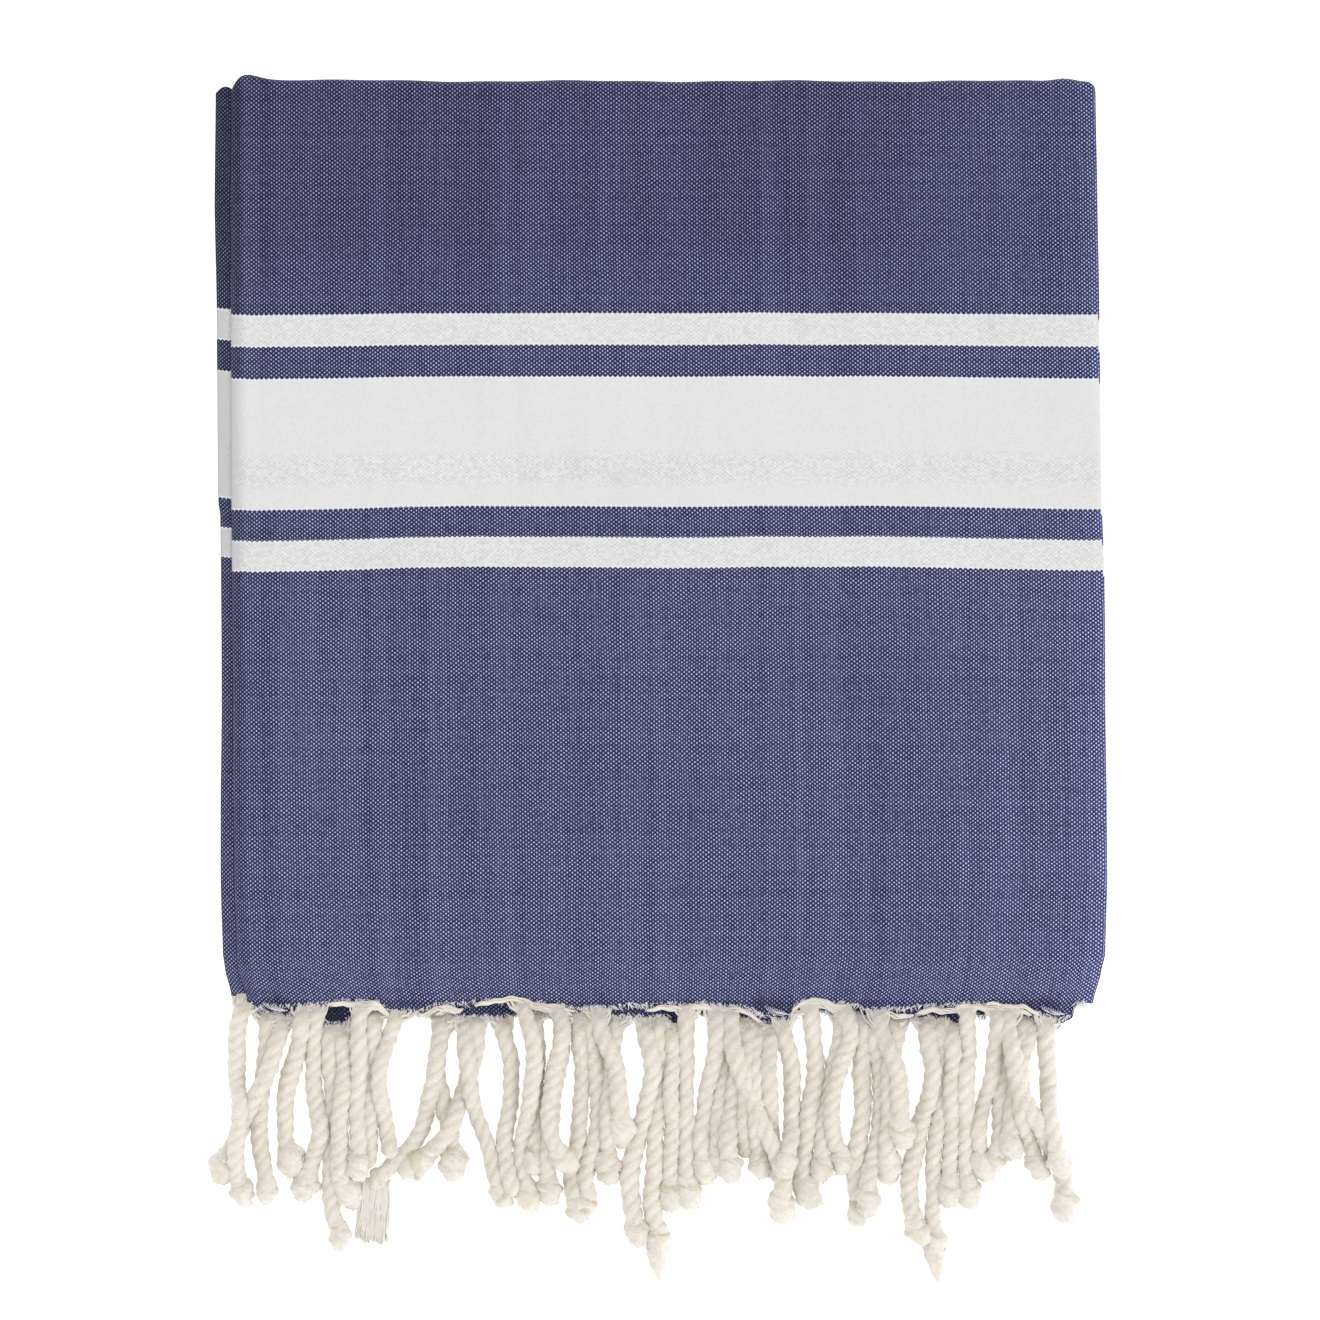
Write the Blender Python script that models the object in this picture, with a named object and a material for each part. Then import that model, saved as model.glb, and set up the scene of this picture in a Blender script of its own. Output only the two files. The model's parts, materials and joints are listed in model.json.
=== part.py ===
"""A hammam towel, folded and laid flat: one flat-woven cotton cloth with a fringe of knotted cords at each end.

The cloth is folded in half across its width, with that fold on the right, and then back and forth into four
panels. The near end shows below the front panel, with its fringe. The far end lies under the stack.
Lengths are in metres, +Z is up, and +Y points from the near fringe to the top fold.
"""

import math
from collections import namedtuple

import bmesh
import bpy
from mathutils import Vector
from mathutils.geometry import intersect_line_line_2d, intersect_point_line

# The cloth and how it is stacked. The front layer is the one that shows, and the back layer is the other half
# of the width, behind it. Each panel is such a pair.
CLOTH = 0.0012            # thickness of the cloth
LEVEL = 0.0020            # height from one layer to the next
PANELS = 4
TOP = 0.3340              # outer face of the top fold
HEM = -0.1975             # near hem, where the front layer ends and its cords begin
LOWER_FOLD = -0.1670      # outer face of the fold between the second and the third panel
FOLD_STAGGER = 0.0050     # how far the hidden top fold lies inside the one that shows
FAR_HEM = -0.0500         # far hem, under the stack
HEM_LEAD = 0.0050         # how far the back layer reaches past the front one at the near hem
FOLD_LEAD = 0.0030        # slack of the front layer round the top fold
DROOP = 0.0260            # length over which the front panel comes down to the floor
FLOOR_GAP = 0.0003        # between the back layer's near hem and the floor
CORNER_REACH = 0.0280     # how far from a fold its rounded corners reach along the cloth
SIDE_PRESS = 0.0016       # how much thinner the stack is at its side edges
SIDE_REACH = 0.0140       # how far in from the side edges that reaches

# The side edges, from the top fold to the near hem.
Edge = namedtuple("Edge", "y front_left back_left right")
EDGES = (
    Edge(-0.1975, -0.2385, -0.2465, 0.2480),
    Edge(-0.1810, -0.2425, -0.2490, 0.2530),
    Edge(-0.1610, -0.2440, -0.2508, 0.2552),
    Edge(-0.1210, -0.2452, -0.2520, 0.2562),
    Edge(-0.0230, -0.2458, -0.2520, 0.2558),
    Edge(0.0520, -0.2465, -0.2523, 0.2545),
    Edge(0.0920, -0.2468, -0.2543, 0.2530),
    Edge(0.2070, -0.2472, -0.2550, 0.2520),
    Edge(0.3280, -0.2468, -0.2555, 0.2508),
)

# How far the near hem lies above (+) or below (-) its straight line, from left to right.
Hem = namedtuple("Hem", "x front back")
HEM_WAVE = (
    Hem(-0.2465, 0.0040, 0.0080),
    Hem(-0.2385, 0.0040, 0.0040),
    Hem(-0.2285, 0.0000, -0.0010),
    Hem(-0.2113, 0.0000, -0.0010),
    Hem(-0.1773, 0.0029, 0.0005),
    Hem(-0.1573, -0.0029, -0.0010),
    Hem(-0.1390, -0.0015, -0.0010),
    Hem(-0.0863, 0.0035, 0.0010),
    Hem(-0.0518, -0.0015, -0.0015),
    Hem(0.0230, 0.0012, 0.0000),
    Hem(0.0603, -0.0032, -0.0025),
    Hem(0.0825, 0.0023, 0.0010),
    Hem(0.1268, -0.0030, -0.0010),
    Hem(0.1830, 0.0012, 0.0000),
    Hem(0.2203, -0.0030, -0.0020),
    Hem(0.2450, 0.0010, 0.0060),
)

# Sideways shift of each panel, from the front one down: cloth is never stacked quite square.
PANEL_SHIFT = (0.0000, -0.0012, -0.0003, -0.0018)

# The fringe. A cord hangs from its root at the hem, and the next columns say where it passes at three depths
# below the hem. The drop is the depth of its knot.
STRIP = 0.0030            # width of the strip that holds the roots
GAP = 0.0003              # between the strip and the cloth's edge
CORD = 0.0070             # width and height of a cord
CLEAR = 0.0004            # between two cords that cross
STEEPEST = 0.7            # rise over run of a cord that climbs over another
BELLY, WAIST, SHIN = 0.030, 0.058, 0.084
Cord = namedtuple("Cord", "layer root belly waist shin tip drop end")
LEFT_CORDS = (
    Cord("front", -0.2330, -0.2415, -0.2410, -0.2430, -0.2410, 0.108, "knot"),
    Cord("front", -0.2240, -0.2275, -0.2305, -0.2300, -0.2260, 0.108, "knot"),
    Cord("back", -0.2155, -0.2180, -0.2290, -0.2420, -0.2535, 0.094, "knot"),
    Cord("front", -0.2070, -0.2100, -0.2155, -0.2160, -0.2150, 0.089, "knot"),
    Cord("back", -0.1985, -0.2010, -0.2010, -0.2005, -0.2025, 0.107, "knot"),
    Cord("front", -0.1900, -0.1925, -0.1922, -0.1915, -0.1880, 0.134, "knot"),
    Cord("back", -0.1815, -0.1840, -0.1845, -0.1830, -0.1790, 0.110, "knot"),
    Cord("front", -0.1730, -0.1755, -0.1760, -0.1735, -0.1710, 0.091, "knot"),
    Cord("back", -0.1645, -0.1670, -0.1665, -0.1640, -0.1630, 0.073, "knot"),
    Cord("front", -0.1500, -0.1570, -0.1565, -0.1540, -0.1520, 0.067, "knot"),
    Cord("front", -0.1280, -0.1325, -0.1355, -0.1455, -0.1590, 0.106, "brush"),
    Cord("back", -0.1190, -0.1235, -0.1265, -0.1230, -0.1185, 0.092, "knot"),
    Cord("front", -0.1080, -0.1075, -0.1150, -0.1285, -0.1405, 0.094, "knot"),
    Cord("back", -0.0990, -0.0990, -0.1010, -0.1020, -0.1020, 0.087, "knot"),
    Cord("front", -0.0905, -0.0890, -0.0895, -0.0910, -0.0930, 0.108, "knot"),
)
REPEATED_CORDS = (
    Cord("back", -0.0820, -0.0810, -0.0810, -0.0815, -0.0815, 0.102, "knot"),
    Cord("front", -0.0735, -0.0725, -0.0725, -0.0720, -0.0715, 0.085, "knot"),
    Cord("front", -0.0575, -0.0590, -0.0620, -0.0615, -0.0630, 0.108, "knot"),
    Cord("front", -0.0460, -0.0460, -0.0470, -0.0480, -0.0490, 0.124, "knot"),
    Cord("back", -0.0375, -0.0375, -0.0380, -0.0380, -0.0375, 0.111, "knot"),
    Cord("front", -0.0290, -0.0285, -0.0245, -0.0250, -0.0275, 0.094, "knot"),
    Cord("front", -0.0110, -0.0068, -0.0098, -0.0175, -0.0135, 0.135, "knot"),
    Cord("back", -0.0020, 0.0012, -0.0010, -0.0040, -0.0015, 0.138, "wisp"),
    Cord("front", 0.0070, 0.0090, 0.0075, 0.0070, 0.0068, 0.106, "knot"),
    Cord("back", 0.0160, 0.0170, 0.0160, 0.0160, 0.0185, 0.113, "knot"),
    Cord("front", 0.0300, 0.0285, 0.0250, 0.0255, 0.0262, 0.088, "knot"),
    Cord("back", 0.0475, 0.0435, 0.0355, 0.0355, 0.0350, 0.113, "knot"),
    Cord("back", 0.0560, 0.0545, 0.0505, 0.0470, 0.0465, 0.092, "knot"),
    Cord("back", 0.0645, 0.0625, 0.0640, 0.0680, 0.0690, 0.121, "knot"),
    Cord("front", 0.0385, 0.0420, 0.0520, 0.0620, 0.0665, 0.093, "knot"),
)
REPEAT_STEP = 0.160       # from each repeated cord to its next copy
REPEATS = 2

# The shape of a cord's end: how far past the middle of the knot each cross-section lies, and its size.
Section = namedtuple("Section", "past width height")
ENDS = {
    "knot": (
        Section(-0.0070, 0.0060, 0.0060),
        Section(-0.0032, 0.0100, 0.0085),
        Section(0.0032, 0.0100, 0.0085),
        Section(0.0068, 0.0056, 0.0050),
    ),
    "brush": (
        Section(-0.0050, 0.0064, 0.0064),
        Section(0.0060, 0.0110, 0.0070),
        Section(0.0270, 0.0150, 0.0050),
    ),
    "wisp": (
        Section(-0.0070, 0.0060, 0.0060),
        Section(-0.0032, 0.0100, 0.0085),
        Section(0.0032, 0.0100, 0.0085),
        Section(0.0090, 0.0070, 0.0060),
        Section(0.0190, 0.0020, 0.0030),
    ),
}
ROOT_SPREAD = 0.0070      # where a cord has gathered out of the flat warp ends
ROOT_GATHERED = 0.0135    # where it has its full section
RING_STEP = 0.0115        # between the cross-sections of a cord

# The far fringe, pressed flat under the stack.
FAR_CORDS = 23            # in each layer
FAR_LENGTH = 0.0950
FAR_HEIGHT = 2 * LEVEL - 0.0008
FAR_SPREAD = 0.0040

CLOTH_BLUE = (0.065, 0.082, 0.205)
CORD_CREAM = (0.830, 0.780, 0.690)


# --- Small helpers ---------------------------------------------------------------------------------------


def smooth(part):
    """A soft step from 0 to 1."""
    part = min(max(part, 0.0), 1.0)
    return part * part * (3 - 2 * part)


def read_off(table, key, column, at):
    """The value of a column at a place between two rows of a table."""
    rows = [(getattr(row, key), getattr(row, column)) for row in table]
    if at <= rows[0][0]:
        return rows[0][1]
    for (a, value_a), (b, value_b) in zip(rows, rows[1:]):
        if at <= b:
            return value_a + (value_b - value_a) * (at - a) / (b - a)
    return rows[-1][1]


def new_object(name, bm, colour, roughness):
    bmesh.ops.recalc_face_normals(bm, faces=bm.faces)
    mesh = bpy.data.meshes.new(name)
    bm.to_mesh(mesh)
    bm.free()
    mesh.shade_smooth()
    mesh.set_sharp_from_angle(angle=math.radians(50))
    material = bpy.data.materials.new(name)
    material.use_nodes = True
    shader = material.node_tree.nodes["Principled BSDF"]
    shader.inputs["Base Color"].default_value = (*colour, 1.0)
    shader.inputs["Roughness"].default_value = roughness
    shader.inputs["Metallic"].default_value = 0.0
    mesh.materials.append(material)
    piece = bpy.data.objects.new(name, mesh)
    bpy.context.scene.collection.objects.link(piece)
    return piece


# --- The folded cloth ------------------------------------------------------------------------------------

# One place along the cloth's length. A spot is the middle of one layer there, with the tilt of the line from
# the back layer to the front one, and the last three say how much a feature counts there.
Spot = namedtuple("Spot", "y z tilt")
Station = namedtuple("Station", "front back shift corner hem")

UPRIGHT = math.pi / 2
TURN = LEVEL              # from the centre of a fold to the middle of its two layers
OUTER_TURN = TURN + LEVEL / 2 + CLOTH / 2
TOP_CENTRE = TOP - OUTER_TURN - FOLD_LEAD / 2
HIDDEN_TOP_CENTRE = TOP_CENTRE - FOLD_STAGGER
LOWER_CENTRE = LOWER_FOLD + OUTER_TURN
NEAR_EDGE = HEM + STRIP + GAP
HEM_MIDDLE = FLOOR_GAP + CLOTH / 2 + LEVEL / 2
SPAN = TOP_CENTRE - LOWER_CENTRE


def panel_middle(panel):
    """Height of the middle of a panel's two layers, with panel 0 in front, on top."""
    return CLOTH / 2 + LEVEL * (2 * (PANELS - 1 - panel) + 0.5)


def front_panel_spot(y, layer):
    """The front panel at a place along it: flat on the stack, and down to the floor near the hem."""
    low, high = HEM_MIDDLE, panel_middle(0)
    part = min(max((y - NEAR_EDGE) / DROOP, 0.0), 1.0)
    tilt = UPRIGHT + math.atan((high - low) / DROOP * 6 * part * (1 - part))
    side = LEVEL / 2 if layer == "front" else -LEVEL / 2
    z = low + (high - low) * smooth(part)
    return Spot(y + side * math.cos(tilt), z + side * math.sin(tilt), tilt)


def front_panel_stations():
    """From the near hem up on to the stack, and along the flat of it."""
    droops = [(DROOP * step / 6, HEM_LEAD) for step in range(7)]
    flats = [(SPAN * place, lead) for place, lead in ((0.15, 0.0045), (0.35, 0.004), (0.65, 0.0035), (0.98, 0.003))]
    for along, lead in droops + flats:
        y = NEAR_EDGE + along
        yield Station(
            front=front_panel_spot(y + lead / 2, "front"),
            back=front_panel_spot(y - lead / 2, "back"),
            shift=0.0,
            corner=corner_share(y, top=True),
            hem=1 - smooth(along / (2 * DROOP)),
        )


def fold_stations(centre, upper, lead, top, corner, steps):
    """Round a fold from one panel down to the next. The front layer is outside at the top and inside below."""
    side = 1 if top else -1
    middle = (panel_middle(upper) + panel_middle(upper + 1)) / 2
    for step in range(steps + 1):
        part = step / steps
        turn = UPRIGHT - math.pi * part
        reach = {"front": TURN + side * LEVEL / 2, "back": TURN - side * LEVEL / 2}
        spots = {}
        for layer, radius in reach.items():
            slack = lead / 2 if layer == "front" else -lead / 2
            y = centre + slack + side * radius * math.cos(turn)
            spots[layer] = Spot(y, middle + radius * math.sin(turn), turn if top else -turn)
        yield Station(
            front=spots["front"],
            back=spots["back"],
            shift=PANEL_SHIFT[upper] + (PANEL_SHIFT[upper + 1] - PANEL_SHIFT[upper]) * part,
            corner=corner,
            hem=0.0,
        )


def flat_stations(panel, places, top_corner, lower_corner):
    """The flat of a panel below the front one, at given parts of the way from the lower fold to the top fold."""
    side = 1 if panel % 2 == 0 else -1
    middle = panel_middle(panel)
    for place, lead in places:
        y = LOWER_CENTRE + SPAN * place
        yield Station(
            front=Spot(y + lead / 2, middle + side * LEVEL / 2, side * UPRIGHT),
            back=Spot(y - lead / 2, middle - side * LEVEL / 2, side * UPRIGHT),
            shift=PANEL_SHIFT[panel],
            corner=top_corner * corner_share(y, top=True) - lower_corner * corner_share(y, top=False),
            hem=0.0,
        )


def corner_share(y, top):
    """How far a place is inside the reach of the rounded corners of a fold."""
    away = TOP_CENTRE - y if top else y - LOWER_CENTRE
    return 1 - smooth(away / CORNER_REACH)


def cloth_stations():
    """The whole length, from the near hem to the far one."""
    far = (FAR_HEM - LOWER_CENTRE) / SPAN
    stations = list(front_panel_stations())
    stations += fold_stations(TOP_CENTRE, 0, FOLD_LEAD, top=True, corner=1, steps=6)
    stations += flat_stations(1, ((0.95, 0.0025), (0.50, 0.001), (0.06, 0.0)), top_corner=1, lower_corner=0.3)
    stations += fold_stations(LOWER_CENTRE, 1, 0.0, top=False, corner=-0.3, steps=4)
    stations += flat_stations(2, ((0.06, 0.0), (0.50, 0.0), (0.93, 0.0)), top_corner=0, lower_corner=0.3)
    stations += fold_stations(HIDDEN_TOP_CENTRE, 2, 0.0, top=True, corner=0, steps=4)
    stations += flat_stations(3, ((0.93, 0.0), (0.60, 0.0), (far, 0.0)), top_corner=0, lower_corner=0)
    return stations


def corner_drop(layer, x, left, right):
    """How far a fold falls back towards its two corners. The left is the front layer's, wherever x lies."""
    from_left = x - left
    on_left = max(0.0, 1 - max(from_left, 0.0) / 0.0085) ** 2
    on_right = max(0.0, 1 - (right - x) / 0.0060) ** 2
    past_left = max(-from_left, 0.0) / 0.009
    horn = math.exp(-(((from_left - 0.012) / 0.012) ** 2))
    left_drop = 0.0025 * on_left + 0.002 * past_left**2 if layer == "back" else 0.0050 * on_left
    return left_drop + 0.0050 * on_right - 0.0022 * horn


def unevenness(x, y):
    """The slow rise and fall of the upper layers, with one soft trough down the right-hand side."""
    waves = 0.0003 * math.sin(x * 31 + 0.7) * math.cos(y * 17 + 0.4) + 0.0002 * math.sin(y * 41 - x * 13)
    trough = -0.0004 * math.exp(-(((x - 0.062) / 0.020) ** 2))
    return waves + trough


def settle(point):
    """Press the stack at its sides and let the layers above the lowest panel lie unevenly."""
    x, y, z = point
    left = read_off(EDGES, "y", "back_left", y)
    right = read_off(EDGES, "y", "right", y)
    still = 2 * LEVEL
    share = min(max((z - still) / (LEVEL * 2 * PANELS - still), 0.0), 1.0)
    near_side = max(0.0, 1 - min(x - left, right - x) / SIDE_REACH)
    return Vector((x, y, z + share * (unevenness(x, y) - SIDE_PRESS * near_side**2)))


def cloth_point(station, layer, at, side=0.0):
    """A point of the cloth. In a layer, at is its x. On the width fold, at is the angle round it.

    The side is the distance from the middle of the cloth's thickness, out from between the two layers.
    """
    angle = {"front": UPRIGHT, "back": -UPRIGHT}.get(layer, at)
    left, right = side_edges(station, layer)
    x = width_fold_centre(right) if layer == "turn" else at
    front, back = (slid(station, kind, x) for kind in ("front", "back"))
    front_share = (math.sin(angle) + 1) / 2
    tilt = front.tilt * front_share + back.tilt * (1 - front_share)
    middle = Vector((x, back.y, back.z)).lerp(Vector((x, front.y, front.z)), front_share)
    middle.x += LEVEL / 2 * math.cos(angle)
    up = Vector((0, math.cos(tilt), math.sin(tilt)))
    point = middle + side * (Vector((math.cos(angle), 0, 0)) + up * math.sin(angle))
    point.y -= station.corner * corner_drop(layer, x, side_edges(station, "front")[0], right)
    return settle(point)


def slid(station, layer, x):
    """A layer's spot, moved within the front panel's surface by the wave of the hem."""
    spot = getattr(station, layer)
    if station.hem == 0.0:
        return spot
    side = LEVEL / 2 if layer == "front" else -LEVEL / 2
    y = spot.y - side * math.cos(spot.tilt)
    return front_panel_spot(y + station.hem * read_off(HEM_WAVE, "x", layer, x), layer)


def side_edges(station, layer):
    column = "back_left" if layer == "back" else "front_left"
    y = station.front.y
    left = read_off(EDGES, "y", column, y) + station.shift
    right = read_off(EDGES, "y", "right", y) + station.shift
    return left, right


def width_fold_centre(right):
    return right - LEVEL / 2 - CLOTH / 2


def layer_parts(layer):
    """Where a layer is divided across its width, as parts of the way from left to right: at the hem's bends."""
    left, right = side_edges(next(front_panel_stations()), layer)
    width = width_fold_centre(right) - left
    inner = [(row.x - left) / width for row in HEM_WAVE]
    return [0.0] + [part for part in inner if 0.004 < part < 0.996] + [1.0]


PARTS = {layer: layer_parts(layer) for layer in ("front", "back")}
TURN_ANGLES = [math.radians(angle) for angle in (45, 0, -45)]


def profile(station):
    """The places across the cloth at a station: the front layer, the width fold and the back layer."""
    places = []
    for layer, parts in PARTS.items():
        left, right = side_edges(station, layer)
        places.append([(layer, left + (width_fold_centre(right) - left) * part) for part in parts])
    front, back = places
    return front + [("turn", angle) for angle in TURN_ANGLES] + back[::-1]


def make_cloth():
    bm = bmesh.new()
    skins = []
    for side in (CLOTH / 2, -CLOTH / 2):
        rows = []
        for station in cloth_stations():
            points = [cloth_point(station, layer, at, side) for layer, at in profile(station)]
            rows.append([bm.verts.new(point) for point in points])
        skins.append(rows)
    for rows in skins:
        for row, following in zip(rows, rows[1:]):
            join(bm, row, following)
    outer, inner = skins
    for index in (0, -1):
        join(bm, outer[index], inner[index])
        join(bm, [row[index] for row in outer], [row[index] for row in inner])
    return new_object("towel_cloth", bm, CLOTH_BLUE, 0.85)


def join(bm, row, following):
    """A band of faces between two rows of points."""
    for a, b, c, d in zip(row, row[1:], following[1:], following):
        bm.faces.new((a, b, c, d))


# --- The fringes -----------------------------------------------------------------------------------------


def strip_places(station, roots):
    """Where the strip is divided: at the hem's bends, and at both sides of each cord's root."""
    places = []
    for layer in ("front", "back"):
        left, right = side_edges(station, layer)
        end = width_fold_centre(right)
        sides = [x + side * CORD / 2 for kind, x in roots if kind == layer for side in (-1, 1)]
        bends = [row.x for row in HEM_WAVE if all(abs(row.x - x) > CORD / 2 + 0.0002 for kind, x in roots if kind == layer)]
        inner = sorted(x for x in sides + bends if left + 0.0008 < x < end - 0.0008)
        places.append([(layer, x) for x in [left] + inner + [end]])
    front, back = places
    return front + [("turn", angle) for angle in TURN_ANGLES] + back[::-1]


def hem_point(station, layer, at, side):
    """A point on the cloth's end. Between the places where the cloth is divided, its end is straight."""
    if layer == "turn":
        return cloth_point(station, layer, at, side)
    row = sorted(place for kind, place in profile(station) if kind == layer)
    for a, b in zip(row, row[1:]):
        if at <= b:
            break
    ends = [cloth_point(station, layer, place, side) for place in (a, b)]
    return ends[0].lerp(ends[1], (at - a) / (b - a))


def make_strip(bm, station, roots):
    """The strip parted from the hem. Returns the face that each root grows from, by layer and place."""
    rings = []
    places = strip_places(station, roots)
    for layer, at in places:
        outer, inner = (hem_point(station, layer, at, side) for side in (CLOTH / 2, -CLOTH / 2))
        near, far = Vector((0, -GAP, 0)), Vector((0, -GAP - STRIP, 0))
        rings.append([bm.verts.new(point) for point in (outer + near, outer + far, inner + far, inner + near)])
    root_faces = {}
    for (ring, following), (place, next_place) in zip(zip(rings, rings[1:]), zip(places, places[1:])):
        for k in range(4):
            corners = (ring[k], ring[(k + 1) % 4], following[(k + 1) % 4], following[k])
            face = bm.faces.new(corners)
            if k == 1 and place[0] == next_place[0] != "turn":
                root_faces[place[0], round((place[1] + next_place[1]) / 2, 5)] = face
    bm.faces.new(rings[0])
    bm.faces.new(rings[-1][::-1])
    return root_faces


def sway(cord, depth):
    """The x of a cord at a depth below the hem: a smooth curve through its row of the table."""
    knots = [(0.0, cord.root), (BELLY, cord.belly), (WAIST, cord.waist), (SHIN, cord.shin)]
    knots = [knot for knot in knots if knot[0] < cord.drop - 0.010] + [(cord.drop, cord.tip)]
    slopes = [0.0]
    for (a, x_a), (b, x_b) in zip(knots, knots[2:]):
        slopes.append((x_b - x_a) / (b - a))
    slopes.append((knots[-1][1] - knots[-2][1]) / (knots[-1][0] - knots[-2][0]))
    if depth >= cord.drop:
        return cord.tip + 0.3 * slopes[-1] * (depth - cord.drop)
    for index, ((a, x_a), (b, x_b)) in enumerate(zip(knots, knots[1:])):
        if depth <= b:
            run = b - a
            t = max(depth - a, 0.0) / run
            start = x_a * (1 + 2 * t) + slopes[index] * run * t
            end = x_b * (3 - 2 * t) - slopes[index + 1] * run * (1 - t)
            return start * (1 - t) ** 2 + end * t**2
    return cord.tip


Ring = namedtuple("Ring", "x y width height")


def cord_rings(cord, root_y):
    """The cross-sections of a cord, from where it leaves the strip to its end."""
    knot_y = HEM - cord.drop
    end = [(knot_y - row.past, row.width, row.height) for row in ENDS[cord.end]]
    first = root_y - ROOT_GATHERED
    last = end[0][0]
    count = max(2, round((first - last) / RING_STEP))
    rows = [(root_y - ROOT_SPREAD, CORD * 0.94, CORD * 0.55)]
    rows += [(first + (last - first) * k / count, CORD, CORD) for k in range(count)]
    return [Ring(sway(cord, HEM - y), y, width, height) for y, width, height in rows + end]


def distance(a, b, c, d):
    """The gap in plan between two straight runs."""
    if intersect_line_line_2d(a, b, c, d):
        return 0.0
    nearest = []
    for point, start, end in ((a, c, d), (b, c, d), (c, a, b), (d, a, b)):
        foot, part = intersect_point_line(point, start, end)
        foot = start.lerp(end, min(max(part, 0.0), 1.0))
        nearest.append((point - foot).length)
    return min(nearest)


def lay_cord(rings, root_low, laid):
    """The height of each ring's underside: on the floor, or over the cords that already lie there."""
    lows = [root_low] + [0.0] * (len(rings) - 1)
    plan = [Vector((ring.x, ring.y)) for ring in rings]
    for index in range(1, len(rings)):
        for other_plan, other_rings, other_lows in laid:
            for k in range(1, len(other_rings)):
                if abs(plan[index].x - other_plan[k].x) > 0.03 or abs(plan[index].y - other_plan[k].y) > 0.03:
                    continue
                widths = max(rings[index - 1].width, rings[index].width)
                widths += max(other_rings[k - 1].width, other_rings[k].width)
                room = widths / 2 + CLEAR
                if distance(plan[index - 1], plan[index], other_plan[k - 1], other_plan[k]) < room:
                    top = max(other_lows[j] + other_rings[j].height for j in (k - 1, k)) + CLEAR
                    lows[index] = max(lows[index], top)
                    if index > 1:
                        lows[index - 1] = max(lows[index - 1], top)
    runs = [(b - a).length for a, b in zip(plan, plan[1:])]
    for index in range(len(lows) - 2, 0, -1):
        lows[index] = max(lows[index], lows[index + 1] - STEEPEST * runs[index])
    for index in range(2, len(lows)):
        lows[index] = max(lows[index], lows[index - 1] - STEEPEST * runs[index - 1])
    return plan, lows


def grow(bm, face, rings, lows):
    """Draw a cord out of its root face, one cross-section after another."""
    for index, (ring, low) in enumerate(zip(rings, lows)):
        before = rings[max(index - 1, 0)]
        after = rings[min(index + 1, len(rings) - 1)]
        heading = Vector((after.x - before.x, after.y - before.y)).normalized()
        right = Vector((-heading.y, heading.x)) * (ring.width / 2)
        face = bmesh.ops.extrude_discrete_faces(bm, faces=[face])["faces"][0]
        middle = face.calc_center_median()
        for vert in face.verts:
            side = 1 if vert.co.x > middle.x else -1
            height = low + (ring.height if vert.co.z > middle.z else 0.0)
            vert.co = (ring.x + side * right.x, ring.y + side * right.y, height)


def near_cords():
    """Every cord of the near end, the back layer's first, because the front layer's lie over them."""
    cords = list(LEFT_CORDS)
    for copy in range(REPEATS):
        step = copy * REPEAT_STEP
        for cord in REPEATED_CORDS:
            moved = {name: getattr(cord, name) + step for name in ("root", "belly", "waist", "shin", "tip")}
            cords.append(cord._replace(**moved))
    return [cord for layer in ("back", "front") for cord in cords if cord.layer == layer]


def make_near_fringe():
    station = next(front_panel_stations())
    cords = near_cords()
    bm = bmesh.new()
    faces = make_strip(bm, station, [(cord.layer, cord.root) for cord in cords])
    laid = []
    for cord in cords:
        face = faces[cord.layer, round(cord.root, 5)]
        root_y = min(vert.co.y for vert in face.verts)
        root_low = 0.0019 if cord.layer == "front" else 0.0
        rings = cord_rings(cord, root_y)
        plan, lows = lay_cord(rings, root_low, laid)
        laid.append((plan, rings, lows))
        grow(bm, face, rings, lows)
    return new_object("fringe_near", bm, CORD_CREAM, 0.9)


def make_far_fringe():
    station = cloth_stations()[-1]
    left, right = side_edges(station, "front")
    pitch = (right - left - 2 * CORD) / FAR_CORDS
    roots = []
    for layer, offset in (("front", 0.25), ("back", 0.75)):
        roots += [(layer, round(left + CORD + pitch * (k + offset), 5)) for k in range(FAR_CORDS)]
    bm = bmesh.new()
    faces = make_strip(bm, station, roots)
    for layer, x in roots:
        face = faces[layer, x]
        root_y = min(vert.co.y for vert in face.verts)
        depths = (FAR_SPREAD, FAR_LENGTH / 2, FAR_LENGTH)
        rings = [Ring(x, root_y - depth, CORD, FAR_HEIGHT) for depth in depths]
        grow(bm, face, rings, [0.0] * len(rings))
    return new_object("fringe_far", bm, CORD_CREAM, 0.9)


# --- The towel -------------------------------------------------------------------------------------------


def centre_on_origin(pieces):
    """Move the towel in plan so that its box stands centred on the origin."""
    corners = [vert.co for piece in pieces for vert in piece.data.vertices]
    for axis in (0, 1):
        values = [corner[axis] for corner in corners]
        middle = (min(values) + max(values)) / 2
        for corner in corners:
            corner[axis] -= middle


def main():
    for thing in list(bpy.data.objects):
        bpy.data.objects.remove(thing, do_unlink=True)
    centre_on_origin([make_cloth(), make_near_fringe(), make_far_fringe()])


main()
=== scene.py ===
# %% [markdown]
# # A folded hammam towel, lying flat
# A hammam towel is one flat-woven cotton cloth with a fringe of twisted cords at both ends. This one is
# folded in half across its width, then back and forth into four panels, and laid down with its near fringe
# spread out. The solids of the towel come in first as a fixed frame, and every piece made here sits where
# its solid does.

import json
import math
import random
from collections import namedtuple

import bpy
import numpy as np
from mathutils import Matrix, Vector, noise

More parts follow.
